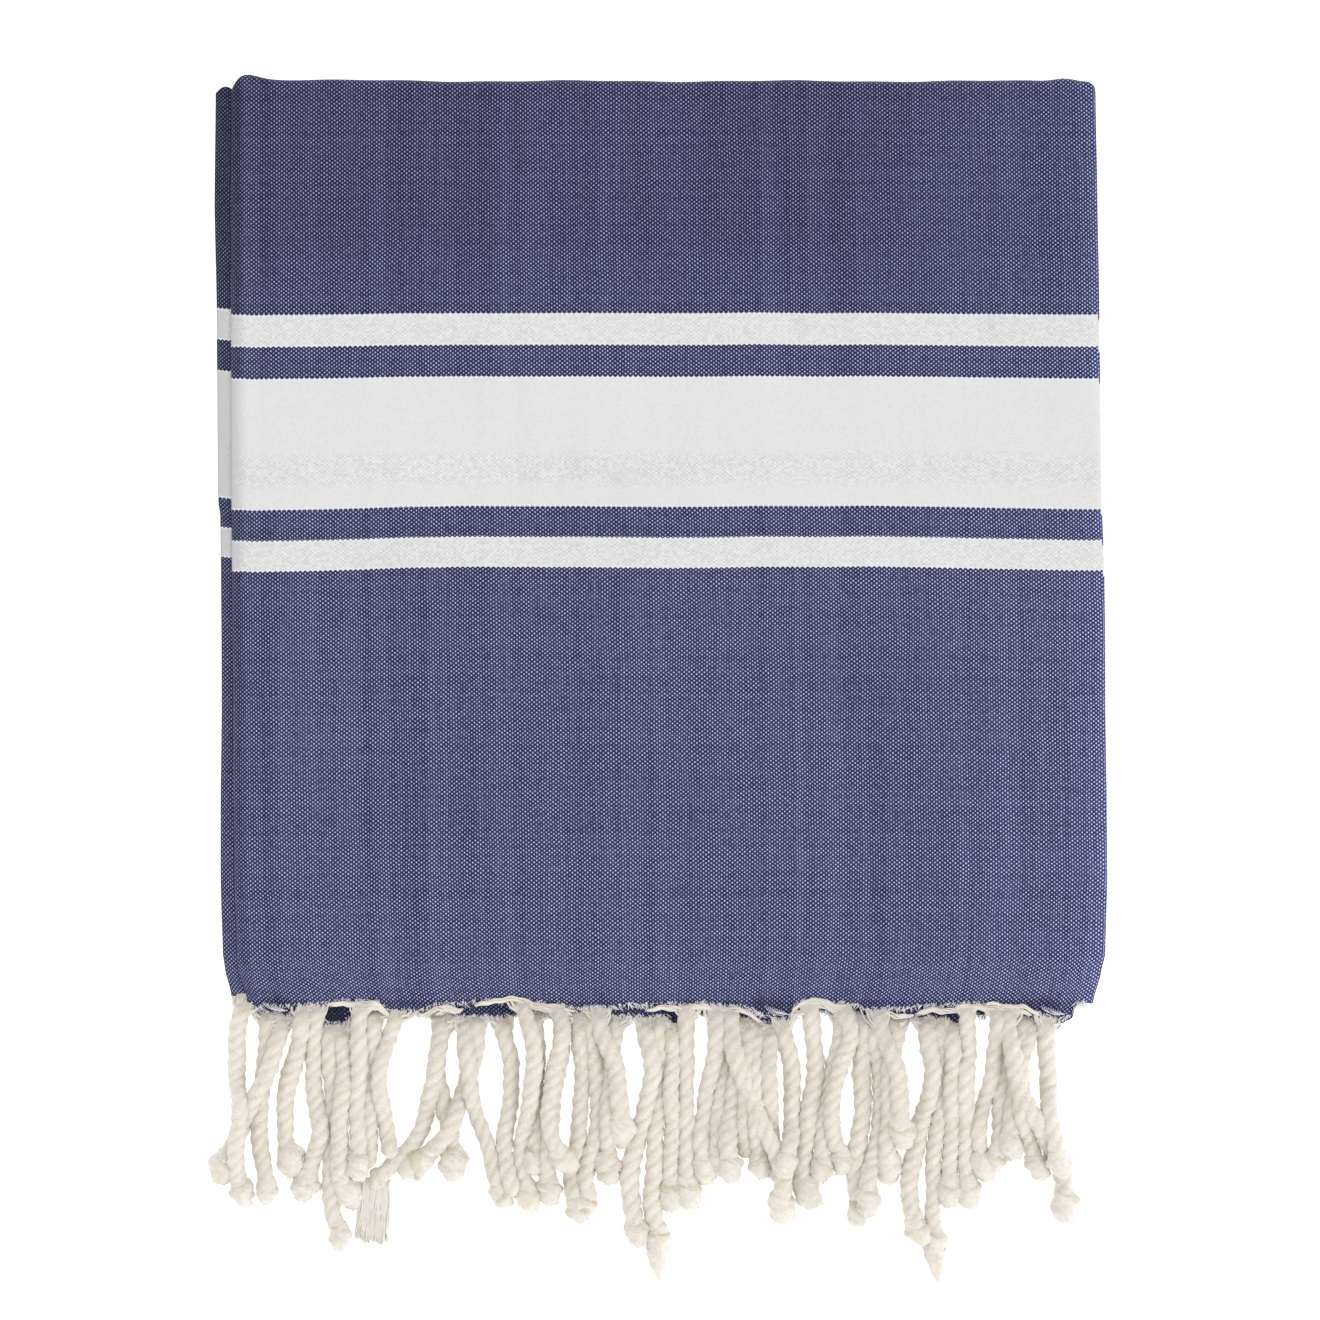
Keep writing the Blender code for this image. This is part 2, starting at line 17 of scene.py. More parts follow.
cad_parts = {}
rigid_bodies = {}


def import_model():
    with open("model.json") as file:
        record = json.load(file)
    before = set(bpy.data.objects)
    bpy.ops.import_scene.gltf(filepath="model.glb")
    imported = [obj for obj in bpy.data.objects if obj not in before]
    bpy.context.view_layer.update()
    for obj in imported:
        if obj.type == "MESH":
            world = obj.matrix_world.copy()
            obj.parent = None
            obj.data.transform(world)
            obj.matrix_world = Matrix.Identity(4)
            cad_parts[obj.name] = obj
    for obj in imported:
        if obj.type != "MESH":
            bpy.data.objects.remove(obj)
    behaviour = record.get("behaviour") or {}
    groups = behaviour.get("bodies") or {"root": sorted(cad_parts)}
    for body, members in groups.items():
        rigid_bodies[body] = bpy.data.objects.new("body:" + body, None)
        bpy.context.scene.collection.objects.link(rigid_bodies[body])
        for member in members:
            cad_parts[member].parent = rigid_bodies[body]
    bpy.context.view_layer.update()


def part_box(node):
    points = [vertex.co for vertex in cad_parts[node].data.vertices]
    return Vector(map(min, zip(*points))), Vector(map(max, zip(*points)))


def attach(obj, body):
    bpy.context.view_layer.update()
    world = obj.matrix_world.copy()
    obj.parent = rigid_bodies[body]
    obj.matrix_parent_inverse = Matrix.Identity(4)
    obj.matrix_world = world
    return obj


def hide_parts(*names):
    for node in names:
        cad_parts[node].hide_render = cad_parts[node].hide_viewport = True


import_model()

# %% [markdown]
# ## Sizes
# All lengths are real ones, in metres. The cloth is 1.0 m wide and just under 2 m long. They are measured
# from the middle of the picture's view, and `PLACE` carries them from there into the frame of the solids.

# %% Sizes of the cloth and its stack
SHEET = 0.0009            # thickness of the woven cloth
LEVEL = 0.0020            # height from one layer to the next
LOWEST = 0.0006           # height of the lowest layer's middle
PANELS = 4
TOP_CENTRE = 0.3289       # where the top fold turns
HIDDEN_TOP_CENTRE = 0.3239      # the same for the fold hidden below it
LOWER_CENTRE = -0.1634    # where the hidden fold at the near end turns
NEAR_EDGE = -0.2001       # where the near hem ends
FAR_EDGE = -0.0500        # where the far end lies, under the stack
HEM_LEAD = 0.0050         # how far the back layer reaches past the front one at the hem
FOLD_LEAD = 0.0030        # the same at the top fold
DROOP = 0.0316            # length over which the front panel comes down to the floor
HEM_MIDDLE = 0.0019       # height of the two layers' middle at the hem
SPAN = TOP_CENTRE - LOWER_CENTRE          # from fold to fold
PANEL_INSET = (0.0, 0.0007, 0.0004, 0.0010)   # how far each lower panel's sides lie inside the front one's
PLACE = Vector((0.00134, 0.00916, 0.0))   # the middle of the view in the solids' frame
FLAT_WIDTH, FLAT_LENGTH = 1.00, 1.95      # the cloth laid out flat
SIDES = {"front": 1, "back": -1}          # the side of the two layers' middle on which each one lies
FULL_TURN = 6.28          # for a chance angle, in radians
print("layers in the stack:", 2 * PANELS)

# %% [markdown]
# ## The cloth's edges
# Cloth is never cut square. The side edges bow a little, and the hem waves where each cord pulls on it.
# Short tables give their places, and a soft curve runs between the rows.

# %% Tables of the edges
def rows(kind, *values):
    """A table with one named row for each set of values."""
    return tuple(kind(*value) for value in values)


Edge = namedtuple("Edge", "y front_left back_left right")
EDGES = rows(
    Edge,
    (-0.1975, -0.2385, -0.2478, 0.2506),
    (-0.1810, -0.2425, -0.2509, 0.2546),
    (-0.1690, -0.2435, -0.2520, 0.2568),
    (-0.1210, -0.2452, -0.2533, 0.2580),
    (-0.0800, -0.2456, -0.2533, 0.2576),
    (-0.0230, -0.2458, -0.2527, 0.2568),
    (0.0100, -0.2462, -0.2528, 0.2568),
    (0.0520, -0.2465, -0.2531, 0.2563),
    (0.0890, -0.2467, -0.2535, 0.2550),
    (0.0950, -0.2468, -0.2548, 0.2548),
    (0.2070, -0.2470, -0.2556, 0.2534),
    (0.2650, -0.2469, -0.2568, 0.2523),
    (0.3280, -0.2468, -0.2562, 0.2512),
)
HemSpot = namedtuple("HemSpot", "x wave")
FRONT_HEM = rows(
    HemSpot,
    (-0.2465, 0.0045), (-0.2405, 0.0045), (-0.2330, -0.0022), (-0.2280, 0.0004), (-0.2113, -0.0004),
    (-0.1950, 0.0012), (-0.1773, 0.0032), (-0.1630, 0.0018), (-0.1555, -0.0034), (-0.1400, -0.0036),
    (-0.1320, -0.0004), (-0.0863, 0.0041), (-0.0700, 0.0018), (-0.0518, -0.0015), (0.0230, 0.0012),
    (0.0480, -0.0010), (0.0610, -0.0054), (0.0690, -0.0082), (0.0735, -0.0086), (0.0775, -0.0006),
    (0.0830, 0.0038), (0.1000, 0.0018), (0.1268, -0.0026), (0.1830, 0.0012), (0.2090, -0.0012),
    (0.2230, -0.0058), (0.2300, -0.0084), (0.2365, -0.0074), (0.2402, 0.0006), (0.2450, 0.0016),
)
BACK_HEM = rows(
    HemSpot,
    (-0.2465, 0.0085), (-0.2400, 0.0060), (-0.2310, -0.0004), (-0.2150, -0.0018), (-0.1970, -0.0006),
    (-0.1928, -0.0076), (-0.1822, -0.0076), (-0.1780, -0.0010), (-0.1600, 0.0000), (-0.1280, -0.0014),
    (-0.1040, -0.0030), (-0.0860, -0.0026), (-0.0760, 0.0000), (-0.0450, 0.0000), (-0.0350, -0.0026),
    (0.0040, -0.0032), (0.0078, -0.0082), (0.0138, -0.0082), (0.0180, -0.0020), (0.0400, -0.0010),
    (0.0500, -0.0040), (0.0620, -0.0072), (0.0735, -0.0076), (0.0780, 0.0010), (0.1100, 0.0000),
    (0.1210, -0.0026), (0.1480, -0.0034), (0.1670, -0.0032), (0.1700, -0.0082), (0.1762, -0.0082),
    (0.1800, -0.0020), (0.2050, -0.0010), (0.2200, -0.0058), (0.2310, -0.0074), (0.2375, -0.0056),
    (0.2415, 0.0050), (0.2450, 0.0080),
)


def evenly(steps):
    """Even steps from 0 to 1."""
    return [k / steps for k in range(steps + 1)]


def soft_step(part):
    """A soft step from 0 to 1."""
    part = min(max(part, 0.0), 1.0)
    return part * part * (3 - 2 * part)


def read_off(table, column, at):
    """The value of a column at a place between the rows of a table, along a soft curve."""
    column_index = table[0]._fields.index(column)
    if at <= table[0][0]:
        return table[0][column_index]
    for low, high in zip(table, table[1:]):
        if at <= high[0]:
            part = (at - low[0]) / (high[0] - low[0])
            part = 0.5 * part + 0.5 * soft_step(part)
            return low[column_index] + (high[column_index] - low[column_index]) * part
    return table[-1][column_index]


def hem_wave(layer, x):
    """How far a layer's hem lies above a straight line, at a place across it."""
    table, phase, lower = (FRONT_HEM, 1.0, 0.0018) if layer == "front" else (BACK_HEM, 2.5, 0.0005)
    ripple = 0.0004 * math.sin(x * 295 + 0.4) + 0.0003 * math.sin(x * 720 + phase)
    return read_off(table, "wave", x) + ripple - lower


print("edge rows:", len(EDGES), "hem rows:", len(FRONT_HEM) + len(BACK_HEM))

# %% [markdown]
# ## The path of the folds
# Seen from the side, the cloth runs up from its near hem on to the stack, turns at the top fold, and goes
# back and forth below. A station is one place on that path. At each one there are two layers, the front and
# the back half of the width. A cloth simulation could fold it too, but a given path keeps each layer
# on its solid's level.

# %% Stations along the cloth
UPRIGHT = math.pi / 2
TURN = LEVEL              # radius of a fold, at the middle between its two layers
CORNER_REACH = 0.020      # how far from a fold its corners begin to fall back
Spot = namedtuple("Spot", "y z tilt")
Station = namedtuple("Station", "front back inset corner hem")


def panel_middle(panel):
    """Height of a panel's middle, between its two layers."""
    return LOWEST + LEVEL * (2 * (PANELS - 1 - panel) + 0.5)


def front_panel_spot(y, layer):
    """The front panel at a place along it: flat on the stack, and down to the floor near the hem."""
    low, high = HEM_MIDDLE, panel_middle(0)
    part = min(max((y - NEAR_EDGE) / DROOP, 0.0), 1.0)
    tilt = UPRIGHT + math.atan((high - low) / DROOP * 6 * part * (1 - part))
    side = SIDES[layer] * LEVEL / 2
    z = low + (high - low) * soft_step(part)
    return Spot(y + side * math.cos(tilt), z + side * math.sin(tilt), tilt)


def corner_share(y, top):
    """1 at a fold, and nothing away from it."""
    away = TOP_CENTRE - y if top else y - LOWER_CENTRE
    return 1 - soft_step(away / CORNER_REACH)


def front_panel_stations():
    """From the near hem up to the top fold, with closer steps where the cloth comes down to the floor."""
    to_fold = TOP_CENTRE - NEAR_EDGE
    steps = [DROOP * part for part in evenly(16)]
    steps += [DROOP + (to_fold - DROOP) * part for part in evenly(92)[1:-1]]
    for along in steps:
        y = NEAR_EDGE + along
        lead = HEM_LEAD + (FOLD_LEAD - HEM_LEAD) * along / SPAN
        yield Station(
            front=front_panel_spot(y + lead / 2, "front"),
            back=front_panel_spot(y - lead / 2, "back"),
            inset=0.0,
            corner=corner_share(y, top=True),
            hem=1 - soft_step(along / (2 * DROOP)),
        )


def fold_stations(centre, upper, lead, top, corner, steps):
    """Round a fold, from one panel down to the next. The front layer is outside at the top, inside below."""
    side = 1 if top else -1
    middle = (panel_middle(upper) + panel_middle(upper + 1)) / 2
    for part in evenly(steps):
        turn = UPRIGHT - math.pi * part
        spots = {}
        for layer, radius in (("front", TURN + side * LEVEL / 2), ("back", TURN - side * LEVEL / 2)):
            y = centre + SIDES[layer] * lead / 2 + side * radius * math.cos(turn)
            spots[layer] = Spot(y, middle + radius * math.sin(turn), turn if top else -turn)
        inset = PANEL_INSET[upper] + (PANEL_INSET[upper + 1] - PANEL_INSET[upper]) * part
        yield Station(spots["front"], spots["back"], inset, corner, 0.0)


def flat_stations(panel, first, last, steps, leads=(0.0, 0.0)):
    """The flat of a panel below the front one, from one place along it to another."""
    side = 1 if panel % 2 == 0 else -1
    middle = panel_middle(panel)
    for part in evenly(steps)[1:-1]:
        y = first + (last - first) * part
        lead = leads[0] + (leads[1] - leads[0]) * part
        at_top = corner_share(y, top=True) if panel == 1 else 0.0
        at_bottom = 0.3 * corner_share(y, top=False) if panel < 3 else 0.0
        yield Station(
            front=Spot(y + lead / 2, middle + side * LEVEL / 2, side * UPRIGHT),
            back=Spot(y - lead / 2, middle - side * LEVEL / 2, side * UPRIGHT),
            inset=PANEL_INSET[panel],
            corner=at_top - at_bottom,
            hem=0.0,
        )


stations = list(front_panel_stations())
stations += fold_stations(TOP_CENTRE, 0, FOLD_LEAD, top=True, corner=1, steps=14)
stations += flat_stations(1, TOP_CENTRE, LOWER_CENTRE, 18, leads=(FOLD_LEAD, 0.0))
stations += fold_stations(LOWER_CENTRE, 1, 0.0, top=False, corner=-0.3, steps=8)
stations += flat_stations(2, LOWER_CENTRE, HIDDEN_TOP_CENTRE, 16)
stations += fold_stations(HIDDEN_TOP_CENTRE, 2, 0.0, top=True, corner=0, steps=8)
stations += flat_stations(3, HIDDEN_TOP_CENTRE, FAR_EDGE - 0.0001, 14)
far_front, far_back = Spot(FAR_EDGE, LOWEST, -UPRIGHT), Spot(FAR_EDGE, LOWEST + LEVEL, -UPRIGHT)
stations.append(Station(far_front, far_back, PANEL_INSET[3], corner=0, hem=0))
print("stations along the cloth:", len(stations))

# %% [markdown]
# ## How the stack lies
# Pressed cloth isn't a block. Its sides are squashed and roll over, a soft trough runs down where it was
# folded before, faint streaks follow the warp, and the corners by the hem pucker where the fringe pulls.
# These are small heights added to each point, larger towards the top of the stack, and nothing at the
# floor.

# %% Height and corners of the lying cloth
STACK_TOP = LEVEL * 2 * PANELS
SIDE_SQUASH = 0.21        # how much of its height the stack loses at its sides
LEFT_ROLL, RIGHT_ROLL = 0.017, 0.013      # widths over which the sides roll over
TROUGH_X = 0.064          # where the cloth was folded before
PULL_Y = -0.1935          # where the fringe pulls at the corners
NearCorner = namedtuple("NearCorner", "x side size")
NEAR_CORNERS = rows(NearCorner, (-0.2385, 1.0, 0.9), (0.2480, -1.0, 0.7))


def side_roll(x, left, right):
    """How much the stack is squashed at a place across it, from 0 to 1."""
    on_left = min(max(1 - (x - left) / LEFT_ROLL, 0.0), 1.0)
    on_right = min(max(1 - (right - x) / RIGHT_ROLL, 0.0), 1.0)
    return max(on_left**2, 1 - math.sqrt(1 - (0.96 * on_right) ** 2))


def lie_of_cloth(x, y):
    """The rise and fall of the upper layers, in metres."""
    rise = 0.0003 * math.sin(x * 31 + 0.7) * math.cos(y * 17 + 0.4) + 0.0002 * math.sin(y * 41 - x * 13)
    rise -= 0.0006 * math.exp(-(((x - TROUGH_X - 0.004 * math.sin(y * 9)) / 0.013) ** 2))
    rise += 0.00012 * math.sin(2 * math.pi * (x + 0.004 * math.sin(y * 9)) / 0.033 + 1.3)
    rise += 0.00006 * math.sin(2 * math.pi * x / 0.0145 + 2 * math.sin(y * 7))
    rise += 0.00012 * noise.noise(Vector((x * 60, y * 22, 0.0)))
    ridge = math.exp(-(((y + 0.160 - 0.002 * math.sin(x * 35)) / 0.006) ** 2))
    rise += 0.0005 * ridge * (0.6 + 0.4 * math.sin(x * 43))
    for corner in NEAR_CORNERS:
        across, along = (x - corner.x) * corner.side, y - PULL_Y
        reach = math.hypot(across, along)
        angle = math.atan2(along, max(across, 0.0001))
        pucker = math.sin(angle * 11 + 1.0) * min(reach / 0.010, 1.0)
        rise += 0.0007 * corner.size * math.exp(-reach / 0.026) * pucker
    near_hem = math.exp(-((y - PULL_Y) / 0.018) ** 2) if y > PULL_Y else 1.0
    rise += 0.0005 * near_hem * math.sin(x * 210 + 2 * math.sin(x * 57))
    return rise


def corner_drop(layer, x, left, right):
    """How far a fold falls back towards its two corners. The left is the front layer's, wherever x lies."""
    from_left = x - left
    on_left = max(0.0, 1 - max(from_left, 0.0) / 0.0075) ** 2.4
    on_right = max(0.0, 1 - (right - x) / 0.0050) ** 2
    past_left = max(-from_left, 0.0) / 0.009
    horn = 0.0
    if layer == "front":
        horn = 0.0019 * math.exp(-(((right - x - 0.0175) / 0.008) ** 2))
        horn += 0.0024 * math.exp(-(((from_left - 0.0085) / 0.0085) ** 2))
        horn += 0.0016 * math.exp(-abs(from_left - 0.010) / 0.040)
    back_top = 0.0014 * past_left**4 - 0.0020 * math.sin(math.pi * min(past_left, 1.0)) - 0.0004
    left_drop = back_top if layer == "back" else 0.0060 * on_left
    wave = 0.0004 * math.sin(x * 52 + 1.0) + 0.0002 * math.sin(x * 141)
    return left_drop + 0.0034 * on_right - horn + wave


def side_edges(station, layer):
    """The left and right ends of a layer."""
    column = "back_left" if layer == "back" else "front_left"
    y = station.front.y
    return read_off(EDGES, column, y) + station.inset, read_off(EDGES, "right", y) - station.inset


def slid(station, layer, x):
    """A layer's spot, moved within the front panel's surface by the wave of the hem."""
    spot = getattr(station, layer)
    if station.hem == 0.0:
        return spot
    side = SIDES[layer] * LEVEL / 2
    return front_panel_spot(spot.y - side * math.cos(spot.tilt) + station.hem * hem_wave(layer, x), layer)


def settle(point, curl=0.0):
    """Squash the sides of the stack and let its upper layers lie unevenly."""
    left, right = read_off(EDGES, "back_left", point.y), read_off(EDGES, "right", point.y)
    above = max(point.z - LOWEST, 0.0)
    share = min(above / STACK_TOP, 1.0)
    roll = side_roll(point.x, left, right)
    point.z -= above * SIDE_SQUASH * roll + share * curl
    point.z += share * (1 - 0.7 * roll) * lie_of_cloth(point.x, point.y)
    return point


def cloth_point(station, layer, at):
    """A point of the sheet. In a layer, at is its x. On the width fold, at is the angle round it."""
    angle = {"front": UPRIGHT, "back": -UPRIGHT}.get(layer, at)
    left, right = side_edges(station, layer)
    turn_x = right - LEVEL / 2 - SHEET / 2
    x = turn_x if layer == "turn" else at
    front, back = slid(station, "front", x), slid(station, "back", x)
    share = (math.sin(angle) + 1) / 2
    point = Vector((x, back.y, back.z)).lerp(Vector((x, front.y, front.z)), share)
    point.x += LEVEL / 2 * math.cos(angle)
    front_left = side_edges(station, "front")[0]
    point.y -= station.corner * corner_drop(layer, x, front_left, right)
    curl = 0.0006 * max(0.0, 1 - (x - left) / 0.004) ** 2 if layer == "front" else 0.0
    return settle(point, curl) + PLACE


def hem_y(layer, x):
    """How far down a layer's hem hangs at a place across it."""
    return NEAR_EDGE + SIDES[layer] * HEM_LEAD / 2 + hem_wave(layer, x)


def hem_spot(layer, x, below=0.0):
    """A point just below a layer's hem, at the height of that layer."""
    spot = front_panel_spot(hem_y(layer, x), layer)
    return Vector((x, hem_y(layer, x) - below, settle(Vector((x, spot.y, spot.z))).z))


print("height at the middle of the stack:", round(cloth_point(stations[60], "front", 0.0).z, 4))
print("height of the front hem:", round(hem_spot("front", 0.0).z, 4))

# %% [markdown]
# ## The sheet
# The sheet is one grid of points, a row for each station. Across the width it is closer where the cloth
# curves. Each point also keeps how far along and across the flat cloth it is, in metres and measured column
# by column, as a UV map, so that the weave and its bands follow the folds. Solidify gives it its thickness.
# A subdivided plane with a simulation would be slower and would have to be pinned into this shape.

# %% Weave the sheet on the stations
MIDDLE_STEP = 0.0083      # step from column to column, as a part of a layer's width


def shares(edge, steps_at_right):
    """Parts of the way across a layer, closer together at both sides."""
    found = [0.0] + list(edge)
    place = found[-1]
    while place + MIDDLE_STEP < 1 - steps_at_right[0] - 0.001:
        place += MIDDLE_STEP
        found.append(place)
    return found + [1 - step for step in steps_at_right] + [1.0]


FRONT_SHARES = shares((0.003, 0.006, 0.010, 0.014, 0.020, 0.027), (0.022, 0.015, 0.010, 0.006, 0.003))
BACK_SHARES = shares((0.003, 0.006, 0.010, 0.014, 0.019, 0.025, 0.032), (0.018, 0.008, 0.003))
TURN_ANGLES = [math.radians(angle) for angle in (72, 54, 36, 18, 0, -18, -36, -54, -72)]
Lift = namedtuple("Lift", "share lift")
BAND_LIFT = rows(Lift, (0.0, 0.0), (0.05, 0.0), (0.28, 1.0), (0.5, 0.58), (0.72, 0.97), (1.0, 0.2))
HIGHEST_LIFT, LOWEST_LIFT = 0.0027, 0.0008  # how far the bands bow up, least near the top fold
PAST_BANDS, BANDS_RUN = 0.405, 0.15         # length at the bands' end, and the run over which the bow grows
PANEL_START, PANEL_END = 0.2, 0.62          # the bow is whole from the first length, and gone at the second
SIDE_ROLL, ROLL_WIDTH = 0.0024, 0.0060      # cloth rolled down at each selvedge, and over what width
BACK_SLIP, LOWER_SLIP = 0.0070, 0.0047      # how far the back layer's bands have slipped up at the left
HEM_SLACK = 0.0005        # by this much the front layer's columns start later, and the back one's earlier


def profile(station):
    """A row of places: along the front layer, round the width fold, and back along the back layer."""
    places = []
    for layer, parts in (("front", FRONT_SHARES), ("back", BACK_SHARES)):
        left, right = side_edges(station, layer)
        end = right - LEVEL / 2 - SHEET / 2
        places.append([(layer, left + (end - left) * part) for part in parts])
    front, back = places
    return front + [("turn", angle) for angle in TURN_ANGLES] + back[::-1]


def start_of_column(layer, at):
    """Where a column of the cloth starts, as a length from a straight hem: below 0 where it hangs low."""
    if layer == "turn":
        right = EDGES[0].right
        return 0.5 * (start_of_column("front", right) + start_of_column("back", right))
    return hem_wave(layer, at) + SIDES[layer] * HEM_SLACK


def make_sheet():
    """The points of the sheet, and how far along and across the flat cloth each one is."""
    points = np.array([
        [tuple(cloth_point(station, *place)) for place in profile(station)] for station in stations
    ])
    along = np.zeros(points.shape[:2])
    along[1:] = np.cumsum(np.linalg.norm(points[1:] - points[:-1], axis=2), axis=0)
    along += np.array([start_of_column(*place) for place in profile(stations[0])])
    row = points[len(stations) // 4]
    widths = np.concatenate([[0.0], np.cumsum(np.linalg.norm(row[1:] - row[:-1], axis=1))])
    return points, along, widths


def new_mesh_object(name, points, faces):
    """A mesh from its points and faces, as an object in the scene."""
    mesh = bpy.data.meshes.new(name)
    mesh.from_pydata([tuple(point) for point in points], [], faces)
    mesh.validate()
    piece = bpy.data.objects.new(name, mesh)
    bpy.context.scene.collection.objects.link(piece)
    return piece


def only(piece):
    """Deselect everything and leave one piece selected and active."""
    for other in bpy.context.view_layer.objects:
        other.select_set(False)
    piece.select_set(True)
    bpy.context.view_layer.objects.active = piece
    return piece


points, lengths, widths = make_sheet()
columns = len(widths)
faces = []
for row in range(len(stations) - 1):
    for column in range(columns - 1):
        corner = row * columns + column
        faces.append((corner, corner + columns, corner + columns + 1, corner + 1))
towel = new_mesh_object("towel_sheet", points.reshape(-1, 3), faces)

half_width = FLAT_WIDTH / 2
scale_across = FLAT_WIDTH / widths[-1]
weave_map = towel.data.uv_layers.new(name="weave")
vertex_of_loop = np.empty(len(towel.data.loops), np.int32)
towel.data.loops.foreach_get("vertex_index", vertex_of_loop)
across = widths[vertex_of_loop % columns] * scale_across
on_front = across < half_width
from_fold = np.abs(across - half_width) / half_width
lengthwise = lengths[vertex_of_loop // columns, vertex_of_loop % columns]
lower_down = np.clip((PAST_BANDS - lengthwise) / BANDS_RUN, 0, 1)
shares_from_side = 1 - np.abs(widths * scale_across / half_width - 1)
column_lift = np.array([read_off(BAND_LIFT, "lift", share) for share in shares_from_side])
bow = column_lift[vertex_of_loop % columns] * (LOWEST_LIFT + (HIGHEST_LIFT - LOWEST_LIFT) * lower_down)
slip = np.where(on_front, 0.0, (BACK_SLIP + LOWER_SLIP * lower_down) * from_fold)
front_panel = np.clip(lengthwise / PANEL_START, 0, 1) * np.clip((PANEL_END - lengthwise) / 0.1, 0, 1)
rolled = np.exp(-across / ROLL_WIDTH) - np.exp((across - FLAT_WIDTH) / ROLL_WIDTH)
places = np.stack([across - SIDE_ROLL * rolled, lengthwise - (bow + slip) * front_panel], axis=1)
weave_map.data.foreach_set("uv", places.ravel())
print("cloth", round(widths[-1], 3), "m across and", round(lengths[-1].mean(), 3), "m long")

# %% Give the sheet its thickness
only(towel)
thick = towel.modifiers.new("thickness", "SOLIDIFY")
thick.thickness = SHEET
thick.offset = 0.0
thick.use_even_offset = False
bpy.ops.object.modifier_apply(modifier=thick.name)
bpy.ops.object.shade_smooth()
top_face = max(towel.data.polygons, key=lambda face: face.center.z)
print("the top faces", "up" if top_face.normal.z > 0 else "down")
print("the sheet has", len(towel.data.polygons), "faces")

# %% [markdown]
# ## The cords
# Each cord is a bunch of warp ends, twisted from three strands and knotted near its end. A table gives its
# way in millimetres: where it leaves the hem, where it passes every 20 mm below it, and where its knot
# lies. The back layer's cords lie on the floor, and the front layer's lie over them.

